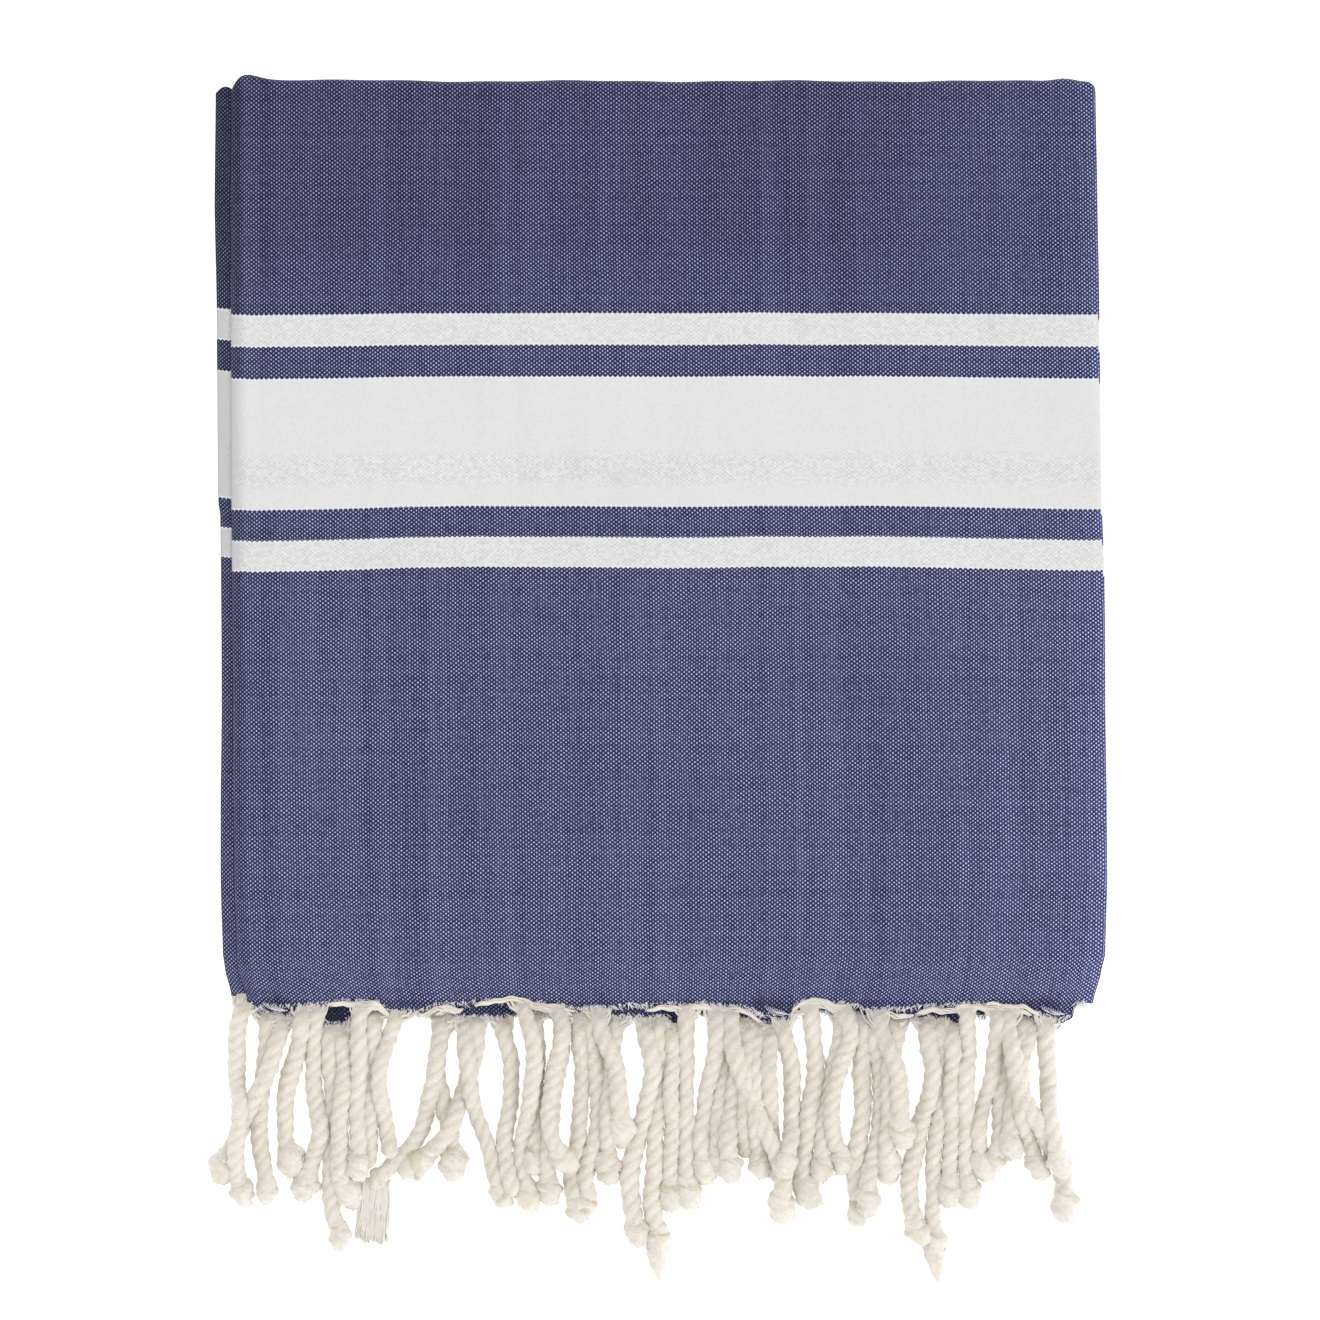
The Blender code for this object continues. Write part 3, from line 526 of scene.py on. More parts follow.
# %% The table of cords
MM = 0.001
FIRST_VIA = 0.018         # depth of the first place that a cord passes
VIA_STEP = 0.020          # depth from one such place to the next
LAST_VIA = 0.008          # depth above the knot within which no such place counts
Cord = namedtuple("Cord", "layer root via tip drop end")
ALL_CORDS = rows(
    Cord,
    ("front", -239, (-244.1, -244.6, -242.2, -244, -244), -242, 108, "knot"),
    ("back", -228, (-227.5, -228.5, -231, -231, -228.5), -227, 108, "knot"),
    ("back", -216.5, (-219.2, -225.5, -235.5, -244.3), -252.6, 95, "wide knot"),
    ("front", -197, (-199.5, -200.2, -198.4, -196.6, -197.3), -205, 105, "wide knot"),
    ("front", -204.5, (-207.4, -212.3, -216.1, -216.6), -213, 90, "wide knot"),
    ("back", -191, (-191.5, -190, -189.3, -189.6, -190.6, -189.2), -185.3, 134, "knot"),
    ("back", -182.5, (-182.5, -182.5, -183.5, -185, -184), -180, 109, "wide knot"),
    ("front", -172.5, (-173.5, -173.5, -174.5, -174.5), -174, 94, "knot"),
    ("back", -165, (-165.5, -166.5, -167.2, -168.5), -170, 96, "plain"),
    ("front", -147, (-155.9, -161, -160.8, -157), -154, 90, "plain"),
    ("back", -126, (-127.3, -129.3, -125.6, -120.7), -119.0, 92, "wide knot"),
    ("back", -105.8, (-106.6, -108.5, -116, -124), -141, 94, "wide knot"),
    ("back", -116.2, (-125.3, -129.7, -133.2, -140.5, -157), -163, 103, "brush"),
    ("back", -111, (-112, -110.8, -107.8, -101.4, -95.6), -91.8, 110, "knot"),
    ("back", -92, (-90, -86.3, -86.2, -90.2, -87.5), -84.5, 112, "plain"),
    ("back", -72, (-72, -71.5, -72, -71.5), -71.5, 89, "knot"),
    ("front", -81.5, (-74.3, -72.5, -75, -79.5, -79.5), -77, 110, "wide knot"),
    ("back", -58, (-56.5, -59.5, -62.3, -64, -64.8), -64, 108, "knot"),
    ("front", -62.5, (-55.6, -60.9, -63.5, -62.3), -56, 90, "wide knot"),
    ("back", -41, (-40, -37.5, -35, -37.6, -42.3), -43, 113, "knot"),
    ("back", -47.5, (-46.5, -45.5, -45.5, -47.5, -51), -48.3, 119, "knot"),
    ("back", -21, (-25.8, -28.4, -29.6, -30.2), -30.7, 94.5, "wide knot"),
    ("front", -37.5, (-33, -25.6, -23), -22.6, 73.5, "wide knot"),
    ("back", -2.5, (-1.5, -0.5, -0.5, -2.5, -3.5, -3.7), -2.0, 136, "wisp"),
    ("back", -9, (-7.6, -4.6, -7.2, -12.9, -17.0, -16.6), -13.3, 132, "knot"),
    ("back", 6.5, (6.5, 6.5, 6.5, 7), 5.5, 110.5, "wide knot"),
    ("front", 16, (15.3, 14.5, 15, 15.4, 15.8), 16.3, 109.5, "wide knot"),
    ("back", 39, (38.5, 37, 35, 33), 33.5, 90, "knot"),
    ("front", 33, (32.5, 30.5, 26, 23.5), 26, 94, "wide knot"),
    ("back", 47.5, (47, 45.5, 42.5, 39.5), 41, 94, "knot"),
    ("back", 51.5, (51, 50, 49, 49), 49.5, 91, "plain"),
    ("back", 57, (56.5, 54.5, 55.5, 56), 57, 92.5, "knot"),
    ("back", 63, (63.5, 62.5, 63, 65, 66.5), 67.5, 104, "plain"),
    ("front", 39.5, (41, 46, 53.8, 63, 70.5), 71, 117.5, "wide knot"),
    ("front", 70.5, (71.9, 75.6, 76.6, 75), 72.5, 92, "knot"),
    ("front", 84.5, (88.7, 89.6, 87.6, 84.2, 82), 85, 109, "wide knot"),
    ("back", 104, (104.5, 100.5, 96, 93.5), 93, 95, "knot"),
    ("front", 102, (109.6, 104.2, 99, 101), 105, 91, "knot"),
    ("back", 116, (116.6, 117, 117, 115.2, 112.8), 115, 119, "knot"),
    ("back", 124, (124.5, 127, 128.5, 125.5, 121.2), 119.6, 113, "knot"),
    ("back", 140.5, (136.2, 133.2, 132, 131.5), 132, 94, "wide knot"),
    ("front", 124, (128.4, 135.8, 138.5, 138.8), 139, 73.5, "wide knot"),
    ("back", 160, (161.5, 162, 161.5, 159.5, 158, 157.5), 159, 136, "wisp"),
    ("back", 153, (154.4, 157, 154.4, 148.8, 144.6, 145.0), 148.3, 132, "knot"),
    ("back", 168.5, (168.5, 168.8, 168.5, 168.5), 167, 108, "wide knot"),
    ("front", 178, (177.8, 176.9, 176.6, 176.5, 177), 177.6, 108, "wide knot"),
    ("back", 201, (200.5, 199, 196.8, 196), 195.4, 88, "knot"),
    ("front", 195, (194.6, 192.4, 187, 184.2), 186, 94.5, "wide knot"),
    ("back", 210, (209, 206, 203.5), 202.2, 82, "knot"),
    ("back", 217.5, (214, 207.5, 208, 212.5), 217, 94, "knot"),
    ("front", 201, (201.6, 204.6, 211, 222.2, 232), 233.2, 116.5, "wide knot"),
    ("front", 223.5, (223.2, 223.6, 224.7, 226.8), 229.8, 92, "knot"),
)
CORD_RADIUS = 0.0056
KNOT_RADIUS = 0.0078

# The back layer's cords come first, because the front layer's lie over them.
cords = [cord for layer in ("back", "front") for cord in ALL_CORDS if cord.layer == layer]
print("cords:", len(cords), "of them in front:", sum(cord.layer == "front" for cord in cords))

# %% [markdown]
# ## The way of a cord
# A cord follows a smooth curve through its places. Its height comes from what lies below it. Two round
# cords that cross must be about a diameter apart, and ones that only touch side by side need nothing.
# Cotton is soft, so they may press into each other a little.

# %% Lay the cords over each other
HEM_LINE = -0.1975        # the depths in the table are measured from here
STEP = 0.0015             # length from one point of a cord to the next
FINE_STEP = 0.0005        # the same before the points are spaced evenly
PRESS = 0.72              # how close two crossing cords come, as a part of their two radii
INSIDE_HEM = 0.0040       # how far inside the hem a cord starts
STEEPEST = 0.75           # rise over run of a cord that climbs over another
HIGHEST = 0.0172          # height of the highest cord's middle
LOWEST_MIDDLE = 0.96      # height of a cord's middle on the floor, as a part of its radius
ROOT_SINK = 0.0009        # how far below its hem's middle a cord starts
LOWEST_ROOT = 0.0006      # and how low that may be
ROOT_RISE = 0.6           # rise over run of a cord where it leaves the hem
ROOT_SLACK = 0.0005       # how much later it starts to rise once its way is smoothed
CLIMB_FROM = 0.014        # from this far along, a cord climbs ahead of one that it crosses
KNOT_POINTS = 8           # points of a cord within its knot
SMOOTHING = np.array([1, 2, 3, 3, 3, 2, 1]) / 15


def smooth_curve(places, at):
    """The x of a smooth curve through (depth, x) places, at a depth."""
    for index in range(len(places) - 1):
        a, b = places[index], places[index + 1]
        if at <= b[0] or index == len(places) - 2:
            before = places[max(index - 1, 0)]
            after = places[min(index + 2, len(places) - 1)]
            run = b[0] - a[0]
            t = (at - a[0]) / run
            slope_a = (b[1] - before[1]) / (b[0] - before[0])
            slope_b = (after[1] - a[1]) / (after[0] - a[0])
            start = a[1] * (1 + 2 * t) + slope_a * run * t
            end = b[1] * (3 - 2 * t) - slope_b * run * (1 - t)
            return start * (1 - t) ** 2 + end * t**2
    return places[-1][1]


def cord_plan(cord, seed):
    """Points along a cord as seen from above, evenly spaced, from just inside the hem to its knot."""
    chance = random.Random(seed)
    start_depth = HEM_LINE - hem_y(cord.layer, cord.root * MM) - INSIDE_HEM
    drop = cord.drop * MM
    places = [(start_depth, cord.root * MM)]
    for index, x in enumerate(cord.via):
        depth = FIRST_VIA + VIA_STEP * index
        if depth < drop - LAST_VIA:
            places.append((depth, x * MM))
    places.append((drop, cord.tip * MM))
    count = int((drop - start_depth) / FINE_STEP)
    fine = []
    phase = chance.uniform(0, FULL_TURN)
    for k in range(count + 1):
        depth = start_depth + (drop - start_depth) * k / count
        wobble = 0.0005 * math.sin(depth * 150 + phase) * min((depth - start_depth) / 0.02, 1.0)
        fine.append(Vector((smooth_curve(places, depth) + wobble, HEM_LINE - depth, 0.0)))
    even, left_over = [fine[0]], 0.0
    for a, b in zip(fine, fine[1:]):
        left_over += (b - a).length
        if left_over >= STEP:
            even.append(b.copy())
            left_over = 0.0
    return even


def held_low(heights, root_height, inside):
    """A cord's heights, kept at the hem's height where it starts and rising only from there."""
    limits = [root_height + ROOT_RISE * max(k * STEP - inside, 0.0) for k in range(len(heights))]
    return np.minimum(heights, limits)


def lay_cords(cords):
    """The points of each cord with their heights, and the radius that each takes up."""
    laid, places, radii = [], np.zeros((0, 3)), np.zeros(0)
    for index, cord in enumerate(cords):
        chance = random.Random(index + 100)
        radius = CORD_RADIUS * chance.uniform(0.94, 1.08)
        plan = cord_plan(cord, index)
        size = np.full(len(plan), radius)
        if cord.end == "knot":
            size[-KNOT_POINTS:] = KNOT_RADIUS
        heights = size * LOWEST_MIDDLE
        if len(places):
            for k, point in enumerate(plan):
                near = np.hypot(places[:, 0] - point.x, places[:, 1] - point.y)
                reach = PRESS * (radii + radius)
                touching = near < reach
                if touching.any():
                    need = places[touching, 2] + np.sqrt(reach[touching] ** 2 - near[touching] ** 2)
                    heights[k] = max(heights[k], need.max())
        root_height = max(hem_spot(cord.layer, cord.root * MM).z - ROOT_SINK, LOWEST_ROOT)
        heights = held_low(heights, root_height, INSIDE_HEM)
        for k in range(len(plan) - 2, int(CLIMB_FROM / STEP), -1):
            heights[k] = max(heights[k], heights[k + 1] - STEEPEST * STEP * 1.2)
        for k in range(1, len(plan)):
            heights[k] = max(heights[k], heights[k - 1] - STEEPEST * STEP)
        padded = np.pad(np.minimum(heights, HIGHEST), len(SMOOTHING) // 2, mode="edge")
        heights = np.convolve(padded, SMOOTHING, mode="valid")
        heights = held_low(heights, root_height, INSIDE_HEM + ROOT_SLACK)
        points = [Vector((p.x, p.y, z)) for p, z in zip(plan, heights)]
        laid.append((cord, points, radius))
        places = np.vstack([places, np.array([tuple(p) for p in points])])
        radii = np.concatenate([radii, np.full(len(plan), radius)])
    return laid


laid_cords = lay_cords(cords)
highest = max(point.z for _, points, _ in laid_cords for point in points)
print("highest middle of a cord:", round(highest * 1000, 1), "mm")

# %% [markdown]
# ## Twisted cord as a mesh
# Three strands twisted together show as lobes that climb round the cord. Three separate tubes would need
# three times the faces, so one tube has a clover-shaped section that turns as it goes. It also keeps how
# deep in the groove each point is, and its place round and along the cord, for the material.

# %% Build tubes
LAY = 0.0235              # length of cord over which a strand goes once round
LOBES = 3
ON_FLOOR = 0.00012        # cotton presses flat where it would go through the floor
LOBE_OFFSET = 0.93        # middle of a strand from the middle of the cord, as a part of the strand's radius


def clover(angle):
    """Radius of the section at an angle, where 1 is the outside, and how deep in the groove it is."""
    turn = (angle % (2 * math.pi / LOBES)) - math.pi / LOBES
    reach = LOBE_OFFSET * math.cos(turn) + math.sqrt(1 - (LOBE_OFFSET * math.sin(turn)) ** 2)
    groove = 1 - reach / (1 + LOBE_OFFSET)
    return 1 - groove, groove


def frame_of(heading):
    """A heading with the way to its side and the way up from it, all of length 1."""
    heading = heading.normalized()
    side_way = heading.cross(Vector((0, 0, 1)))
    side_way = side_way.normalized() if side_way.length > 0.05 else Vector((1, 0, 0))
    return heading, side_way, side_way.cross(heading).normalized()


class TubeMesh:
    """Collects tubes into one mesh, with their grooves and places kept for the material."""

    def __init__(self):
        self.points, self.faces, self.groove, self.place = [], [], [], []

    def tube(self, path, radius, sides=18, lobed=1.0, flat=None, twist=1.0, seed=0.0, lumps=0.0, begin=0.0):
        """A tube along a path.

        The radius may be one number or one for each point. Flat holds the parts of its width and height that
        each point keeps, and begin is how far along its cord the tube starts.
        """
        count = len(path)
        radii = radius if hasattr(radius, "__len__") else [radius] * count
        first = len(self.points)
        side_way = None
        along = begin
        for k, point in enumerate(path):
            heading = (path[min(k + 1, count - 1)] - path[max(k - 1, 0)]).normalized()
            if side_way is None:
                side_way = frame_of(heading)[1]
            side_way = (side_way - heading * side_way.dot(heading)).normalized()
            up_way = side_way.cross(heading).normalized()
            if k:
                along += (point - path[k - 1]).length
            depth = lobed[k] if hasattr(lobed, "__len__") else lobed
            wide, high = flat[k] if flat else (1.0, 1.0)
            turn = twist * 2 * math.pi * along / LAY + seed
            for j in range(sides):
                angle = 2 * math.pi * j / sides
                reach, groove = clover(angle + turn)
                reach = (1 - depth) * 0.90 + depth * reach
                offset = side_way * (math.cos(angle) * reach * radii[k] * wide)
                offset += up_way * (math.sin(angle) * reach * radii[k] * high)
                if lumps:
                    fine, coarse = noise.noise((point + offset) * 330), noise.noise((point + offset) * 120)
                    offset *= 1 + lumps * fine + lumps * coarse
                spot = point + offset
                spot.z = max(spot.z, ON_FLOOR)
                self.points.append(spot)
                self.groove.append(groove * depth)
                self.place.append((j / sides, along, seed))
        for k in range(count - 1):
            for j in range(sides):
                a = first + k * sides + j
                b = first + k * sides + (j + 1) % sides
                self.faces.append((a, b, b + sides, a + sides))
        for ring, turned in ((first, True), (first + (count - 1) * sides, False)):
            self.points.append(sum((self.points[ring + j] for j in range(sides)), Vector()) / sides)
            self.groove.append(0.0)
            self.place.append((0.5, begin if turned else along, seed))
            hub = len(self.points) - 1
            for j in range(sides):
                a, b = ring + j, ring + (j + 1) % sides
                self.faces.append((hub, b, a) if turned else (hub, a, b))

    def thread(self, path, radius, sides, chance):
        """A thin plain tube with a shade of its own."""
        self.tube(path, radius, sides=sides, lobed=0.0, seed=chance.uniform(0, 6))

    def finish(self, name):
        """Make the object, with its groove and place attributes."""
        piece = new_mesh_object(name, [point + PLACE for point in self.points], self.faces)
        groove = piece.data.attributes.new("groove", "FLOAT", "POINT")
        groove.data.foreach_set("value", np.array(self.groove, np.float32))
        place = piece.data.attributes.new("place", "FLOAT_VECTOR", "POINT")
        place.data.foreach_set("vector", np.array(self.place, np.float32).ravel())
        only(piece)
        bpy.ops.object.mode_set(mode="EDIT")
        bpy.ops.mesh.select_all(action="SELECT")
        bpy.ops.mesh.normals_make_consistent(inside=False)
        bpy.ops.object.mode_set(mode="OBJECT")
        bpy.ops.object.shade_smooth()
        print(name, "has", sum(len(face.vertices) - 2 for face in piece.data.polygons), "triangles")
        return piece


# %% [markdown]
# ## Knots and frayed ends
# A pulled overhand knot is a lump with the cord wrapped round it, one and a half times as wide as the cord
# and a little longer than wide. Its free end is blunt and a bit frayed. The knot is made here as a core
# with a wrap round it, and the fibres as thin tubes. One long end has come untwisted into a tassel, and a
# few end in a wisp.

# %% Helpers for knots, tassels and wisps
def tie_knot(mesh, centre, heading, radius, seed):
    """A pulled overhand knot round the end of a cord. Gives back where its end comes out, and which way."""
    chance = random.Random(seed)
    heading, side_way, up_way = frame_of(heading)
    heading, side_way, up_way = frame_of(heading + side_way * chance.uniform(-0.4, 0.4))
    strand = radius * chance.uniform(0.62, 0.70)
    reach = radius * chance.uniform(0.72, 0.84)
    length = radius * chance.uniform(1.9, 2.3)
    turns, phase = chance.uniform(1.4, 1.8), chance.uniform(0, 2 * math.pi)
    hand = 1 if chance.random() < 0.7 else -1
    wrap, sizes = [], []
    for t in evenly(33):
        swell = abs(math.sin(math.pi * t)) ** 0.5
        angle = phase + hand * 2 * math.pi * turns * t
        out = side_way * math.cos(angle) + up_way * (0.8 * math.sin(angle))
        wrap.append(centre + heading * (length * (t - 0.5)) + out * (reach * (0.25 + 0.75 * swell)))
        sizes.append(strand * (0.60 + 0.40 * swell) * (1 + 0.06 * math.sin(angle * 2 + seed)))
    mesh.tube(wrap, sizes, sides=14, lobed=0.4, twist=1.0, seed=seed * 1.7, lumps=0.18, begin=0.05)
    core = [centre + heading * (radius * 1.55 * (t - 0.5) * 2) for t in evenly(10)]
    bulges = [abs(math.sin(math.pi * (k + 0.4) / 10.8)) ** 0.7 for k in range(11)]
    core_sizes = [radius * (0.48 + 0.76 * bulge) for bulge in bulges]
    mesh.tube(core, core_sizes, sides=16, lobed=0.2, seed=seed, lumps=0.20, begin=0.05)
    end = centre + heading * (radius * 1.4) + side_way * (radius * chance.uniform(-0.3, 0.3))
    stub = [centre.lerp(end, 0.4 + 0.6 * t) for t in evenly(4)]
    stub_sizes = [radius * size for size in (0.80, 0.94, 0.96, 0.88, 0.70)]
    mesh.tube(stub, stub_sizes, sides=12, lobed=0.4, seed=seed, lumps=0.16, begin=0.05)
    return end, heading


def fibres(mesh, start, heading, count, length, width, spread, thickness, seed, high=0.6, settled=0.35):
    """A bunch of loose fibres. With a spread above 0 they fan out, and below it they draw together."""
    chance = random.Random(seed)
    sizes = [thickness * (1 - 0.35 * t) for t in evenly(5)]
    heading, side_way, up_way = frame_of(heading)
    for _ in range(count):
        aside, above = chance.uniform(-1, 1), chance.uniform(-1, 1)
        begin = start + side_way * (aside * width) + up_way * (above * width * high)
        way = heading + side_way * (aside * spread + chance.gauss(0, 0.035)) + up_way * (above * spread * 0.3)
        way.normalize()
        reach = length * chance.uniform(0.78, 0.92) * (1.06 + 0.08 * math.sin(aside * 7))
        bend, phase = chance.uniform(-1, 1) * 0.0016, chance.uniform(0, FULL_TURN)
        path = []
        for t in evenly(5):
            point = begin + way * (reach * t) + side_way * (bend * math.sin(t * 5 + phase))
            point.z = point.z + (max(thickness, begin.z * settled) - point.z) * soft_step(reach * t / 0.030)
            path.append(point)
        mesh.thread(path, sizes, 4, chance)


# %% [markdown]
# ## Roots of the cords
# A cord has no clean start. Some forty warp ends leave the hem side by side, and are gathered and twisted
# within a centimetre. So each cord starts wide and flat within the cloth's thickness, and a few loose ends
# run into it.

# %% Make the two rows of cords
loose = TubeMesh()        # every loose fibre of the cords
ENDS_PER_ROOT = 12
ROOT_HALF_WIDTH = 0.0090  # how far to each side the ends of a cord leave the hem


def gathered_ends(cord, points, radius, chance):
    """Loose warp ends that run from the hem into the start of a cord."""
    for _ in range(ENDS_PER_ROOT):
        aside = chance.uniform(-1.0, 1.0)
        joins = min(chance.randint(5, 10), len(points) - 1)
        start = hem_spot(cord.layer, cord.root * MM + aside * ROOT_HALF_WIDTH, -0.0004)
        start.z -= 0.0005
        end = points[joins] + Vector((aside * radius * 0.62, 0, radius * chance.uniform(0.1, 0.62)))
        middle = start.lerp(end, 0.5) + Vector((aside * 0.0014, -0.0010, 0.0004))
        path = [start, start.lerp(middle, 0.55), middle, middle.lerp(end, 0.55), end]
        loose.thread(path, chance.uniform(0.0005, 0.0010), 6, chance)


def cord_shape(count, gather):
    """Round section with lobes, flat and wide where the cord leaves the hem."""
    flat, lobed = [], []
    for k in range(count):
        gathered = soft_step((k * STEP - INSIDE_HEM) / gather)
        flat.append((1.18 - 0.18 * gathered, 0.13 + 0.83 * gathered))
        lobed.append(0.12 + 0.32 * gathered)
    return flat, lobed


def make_tassel(mesh, top, seed):
    """A cord end that has come untwisted: a flat bundle under a layer of fibres."""
    body = [Vector((top.x - 0.0027 * t, top.y - 0.0335 * t, 0.0036)) for t in evenly(8)]
    sizes = [0.0072 + 0.0008 * t for t in evenly(8)]
    flat = [(1.0, 0.38)] * len(body)
    mesh.tube(body, sizes, sides=20, lobed=0.0, flat=flat, twist=0.0, seed=2.0, lumps=0.10, begin=0.05)
    start, way = Vector((top.x, top.y, 0.0046)), Vector((-0.08, -1, 0))
    fibres(
        loose, start, way, count=420, length=0.0372, width=0.0073, spread=0.03, thickness=0.0007,
        seed=seed, high=0.36, settled=0.9,
    )


WispSpot = namedtuple("WispSpot", "below aside radius")
WISP = rows(
    WispSpot,
    (0.0030, -0.0004, 0.0058), (0.0070, -0.0004, 0.0068), (0.0100, -0.0002, 0.0068), (0.0130, 0.0001, 0.0060),
    (0.0160, 0.0006, 0.0050), (0.0205, 0.0013, 0.0034), (0.0254, 0.0019, 0.0010),
)


def make_wisp(mesh, centre, height, seed):
    """A cord end that tapers away below its knot."""
    tip = [centre + Vector((spot.aside, -spot.below, 0.0)) for spot in WISP]
    for point, spot in zip(tip, WISP):
        point.z = height * (1 - 20 * spot.below)
    mesh.tube(tip, [spot.radius for spot in WISP], sides=14, lobed=0.3, seed=seed, lumps=0.20, begin=0.05)
    start, way = Vector((centre.x, centre.y - 0.006, height)), Vector((0.04, -1, -0.1))
    fibres(loose, start, way, count=60, length=0.017, width=0.0060, spread=-0.30, thickness=0.0005, seed=seed)


WIDE_KNOT = 1.17          # size of a wide knot beside a plain one
ROUND_END = (0.45, 0.75, 0.90, 0.97)      # radii of a plain end's last points
KNOT_FIBRES = {"count": 14, "length": 0.0034, "width": 0.0024, "spread": 0.5, "thickness": 0.0004}


def make_cords(name, layer):
    """One layer's cords with their ends."""
    mesh = TubeMesh()
    for index, (cord, points, radius) in enumerate(laid_cords):
        if cord.layer != layer:
            continue
        chance = random.Random(index * 7 + 3)
        path = points if cord.end == "plain" else points[:-3]
        flat, lobed = cord_shape(len(path), chance.uniform(0.007, 0.011))
        swell, phase = chance.uniform(0.03, 0.07), chance.uniform(0, FULL_TURN)
        sizes = [radius * (1 + swell * math.sin(k * 0.11 + phase)) for k in range(len(path))]
        if cord.end == "plain":
            for from_end, share in enumerate(ROUND_END):
                sizes[-1 - from_end] *= share
        twist, seed = chance.uniform(0.9, 1.15), chance.uniform(0, FULL_TURN)
        mesh.tube(path, sizes, lobed=lobed, flat=flat, twist=twist, seed=seed, lumps=0.10)
        gathered_ends(cord, points, radius, chance)
        heading = points[-1] - points[-6]
        if cord.end == "brush":
            make_tassel(mesh, points[-1] + Vector((-0.0010, 0.001, 0)), index)
            tie_knot(mesh, points[-2], heading, radius * 0.92, index)
        elif cord.end != "plain":
            centre = points[-1] + heading.normalized() * 0.001
            size = radius * (WIDE_KNOT if cord.end == "wide knot" else 1.0)
            tail, way = tie_knot(mesh, centre, heading, size, index)
            if cord.end == "wisp":
                make_wisp(mesh, points[-1], centre.z, index)
            else:
                fibres(loose, tail - way * 0.0014, way, seed=index, **KNOT_FIBRES)
    return mesh.finish(name)


back_cords = make_cords("cords_back_row", "back")
front_cords = make_cords("cords_front_row", "front")

# %% Fuzz on the cords
HAIRS_PER_CORD = 60
HAIR_RADII = (0.00016, 0.00013, 0.00007)
for index, (cord, points, radius) in enumerate(laid_cords):
    chance = random.Random(index + 4000)
    for _ in range(HAIRS_PER_CORD):
        k = chance.randint(6, len(points) - 2)
        heading, side_way, up_way = frame_of(points[k + 1] - points[k - 1])
        angle = chance.uniform(0, 2 * math.pi)
        out = side_way * math.cos(angle) + up_way * math.sin(angle)
        start = points[k] + out * (radius * 0.86)
        way = out * 0.6 + heading * chance.uniform(-1, 1) + side_way.cross(out) * chance.uniform(-0.5, 0.5)
        way.normalize()
        bend = side_way * chance.uniform(-0.9, 0.9) + up_way * chance.uniform(-0.5, 0.5)
        reach = chance.uniform(0.0012, 0.0028)
        hair = [start + way * (reach * t) + bend * (reach * t * t) for t in (0.0, 0.5, 1.0)]
        loose.thread(hair, HAIR_RADII, 3, chance)
loose_fibres = loose.finish("loose_fibres")

# %% [markdown]
# ## The far fringe
# The far end's cords lie flat between the lowest panel and the floor. They hardly show, so each is a
# straight, pressed cord with a small knot.

# %% Make the far fringe
FAR_CORDS = 44
FAR_LENGTH, FAR_RADIUS = 0.090, 0.0040
FAR_HEIGHT, FAR_FLATNESS = 0.00168, 0.36
SIDE_MARGIN = 0.008       # from the fringe's sides to its outer cords' middles
far_low, far_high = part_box("fringe_far")
far_mesh = TubeMesh()
for index in range(FAR_CORDS):
    chance = random.Random(index + 500)
    width = far_high.x - far_low.x - 2 * SIDE_MARGIN
    x = far_low.x + SIDE_MARGIN + width * index / (FAR_CORDS - 1) - PLACE.x
    sway = chance.uniform(-0.0015, 0.0015)
    length = FAR_LENGTH * chance.uniform(0.95, 1.0)
    start_y = far_high.y - PLACE.y + 0.002
    path = [Vector((x + sway * math.sin(t * 9.6), start_y - length * t, FAR_HEIGHT)) for t in evenly(24)]
    sizes = [FAR_RADIUS * (1.25 if t > 0.9 else 1.0) for t in evenly(24)]
    flat = [(1.0, FAR_FLATNESS)] * len(path)
    far_mesh.tube(path, sizes, sides=10, lobed=0.6, flat=flat, seed=chance.uniform(0, FULL_TURN))
far_cords = far_mesh.finish("cords_far_end")

# %% [markdown]
# ## The frayed hem
# Where the weave ends, its last weft yarns work loose. Short light and navy ends stand out all along both
# layers' hems. Here and there a bunch of cream yarns lies along the edge, on its way into a cord, and where
# the front layer dips, a few light yarns curve round with it.

# %% Loose yarns along the hems
YARNS = 8                 # in each strand
Strand = namedtuple("Strand", "first last below thickness layer")
HEM_STRANDS = rows(
    Strand,
    (-0.2262, -0.2110, 0.0016, 0.0013, "back"),
    (-0.1900, -0.1560, 0.0006, 0.0019, "front"),
    (-0.1760, -0.1480, 0.0026, 0.0016, "front"),
    (-0.1385, -0.1150, 0.0012, 0.0018, "front"),
    (-0.1290, -0.1170, 0.0026, 0.0016, "front"),
    (-0.1060, -0.0510, -0.0002, 0.0017, "front"),
    (-0.0800, -0.0530, 0.0022, 0.0016, "front"),
    (-0.0060, 0.0300, 0.0012, 0.0019, "front"),
    (0.0220, 0.0560, 0.0016, 0.0019, "front"),
    (0.0768, 0.1086, -0.0002, 0.0017, "front"),
    (0.0820, 0.1060, 0.0022, 0.0018, "front"),
    (0.1240, 0.1450, 0.0026, 0.0016, "front"),
    (0.1500, 0.1800, 0.0016, 0.0019, "front"),
    (0.1720, 0.2140, 0.0010, 0.0019, "front"),
    (0.1900, 0.2180, -0.0012, 0.0015, "front"),
    (0.2400, 0.2450, 0.0000, 0.0007, "front"),
)


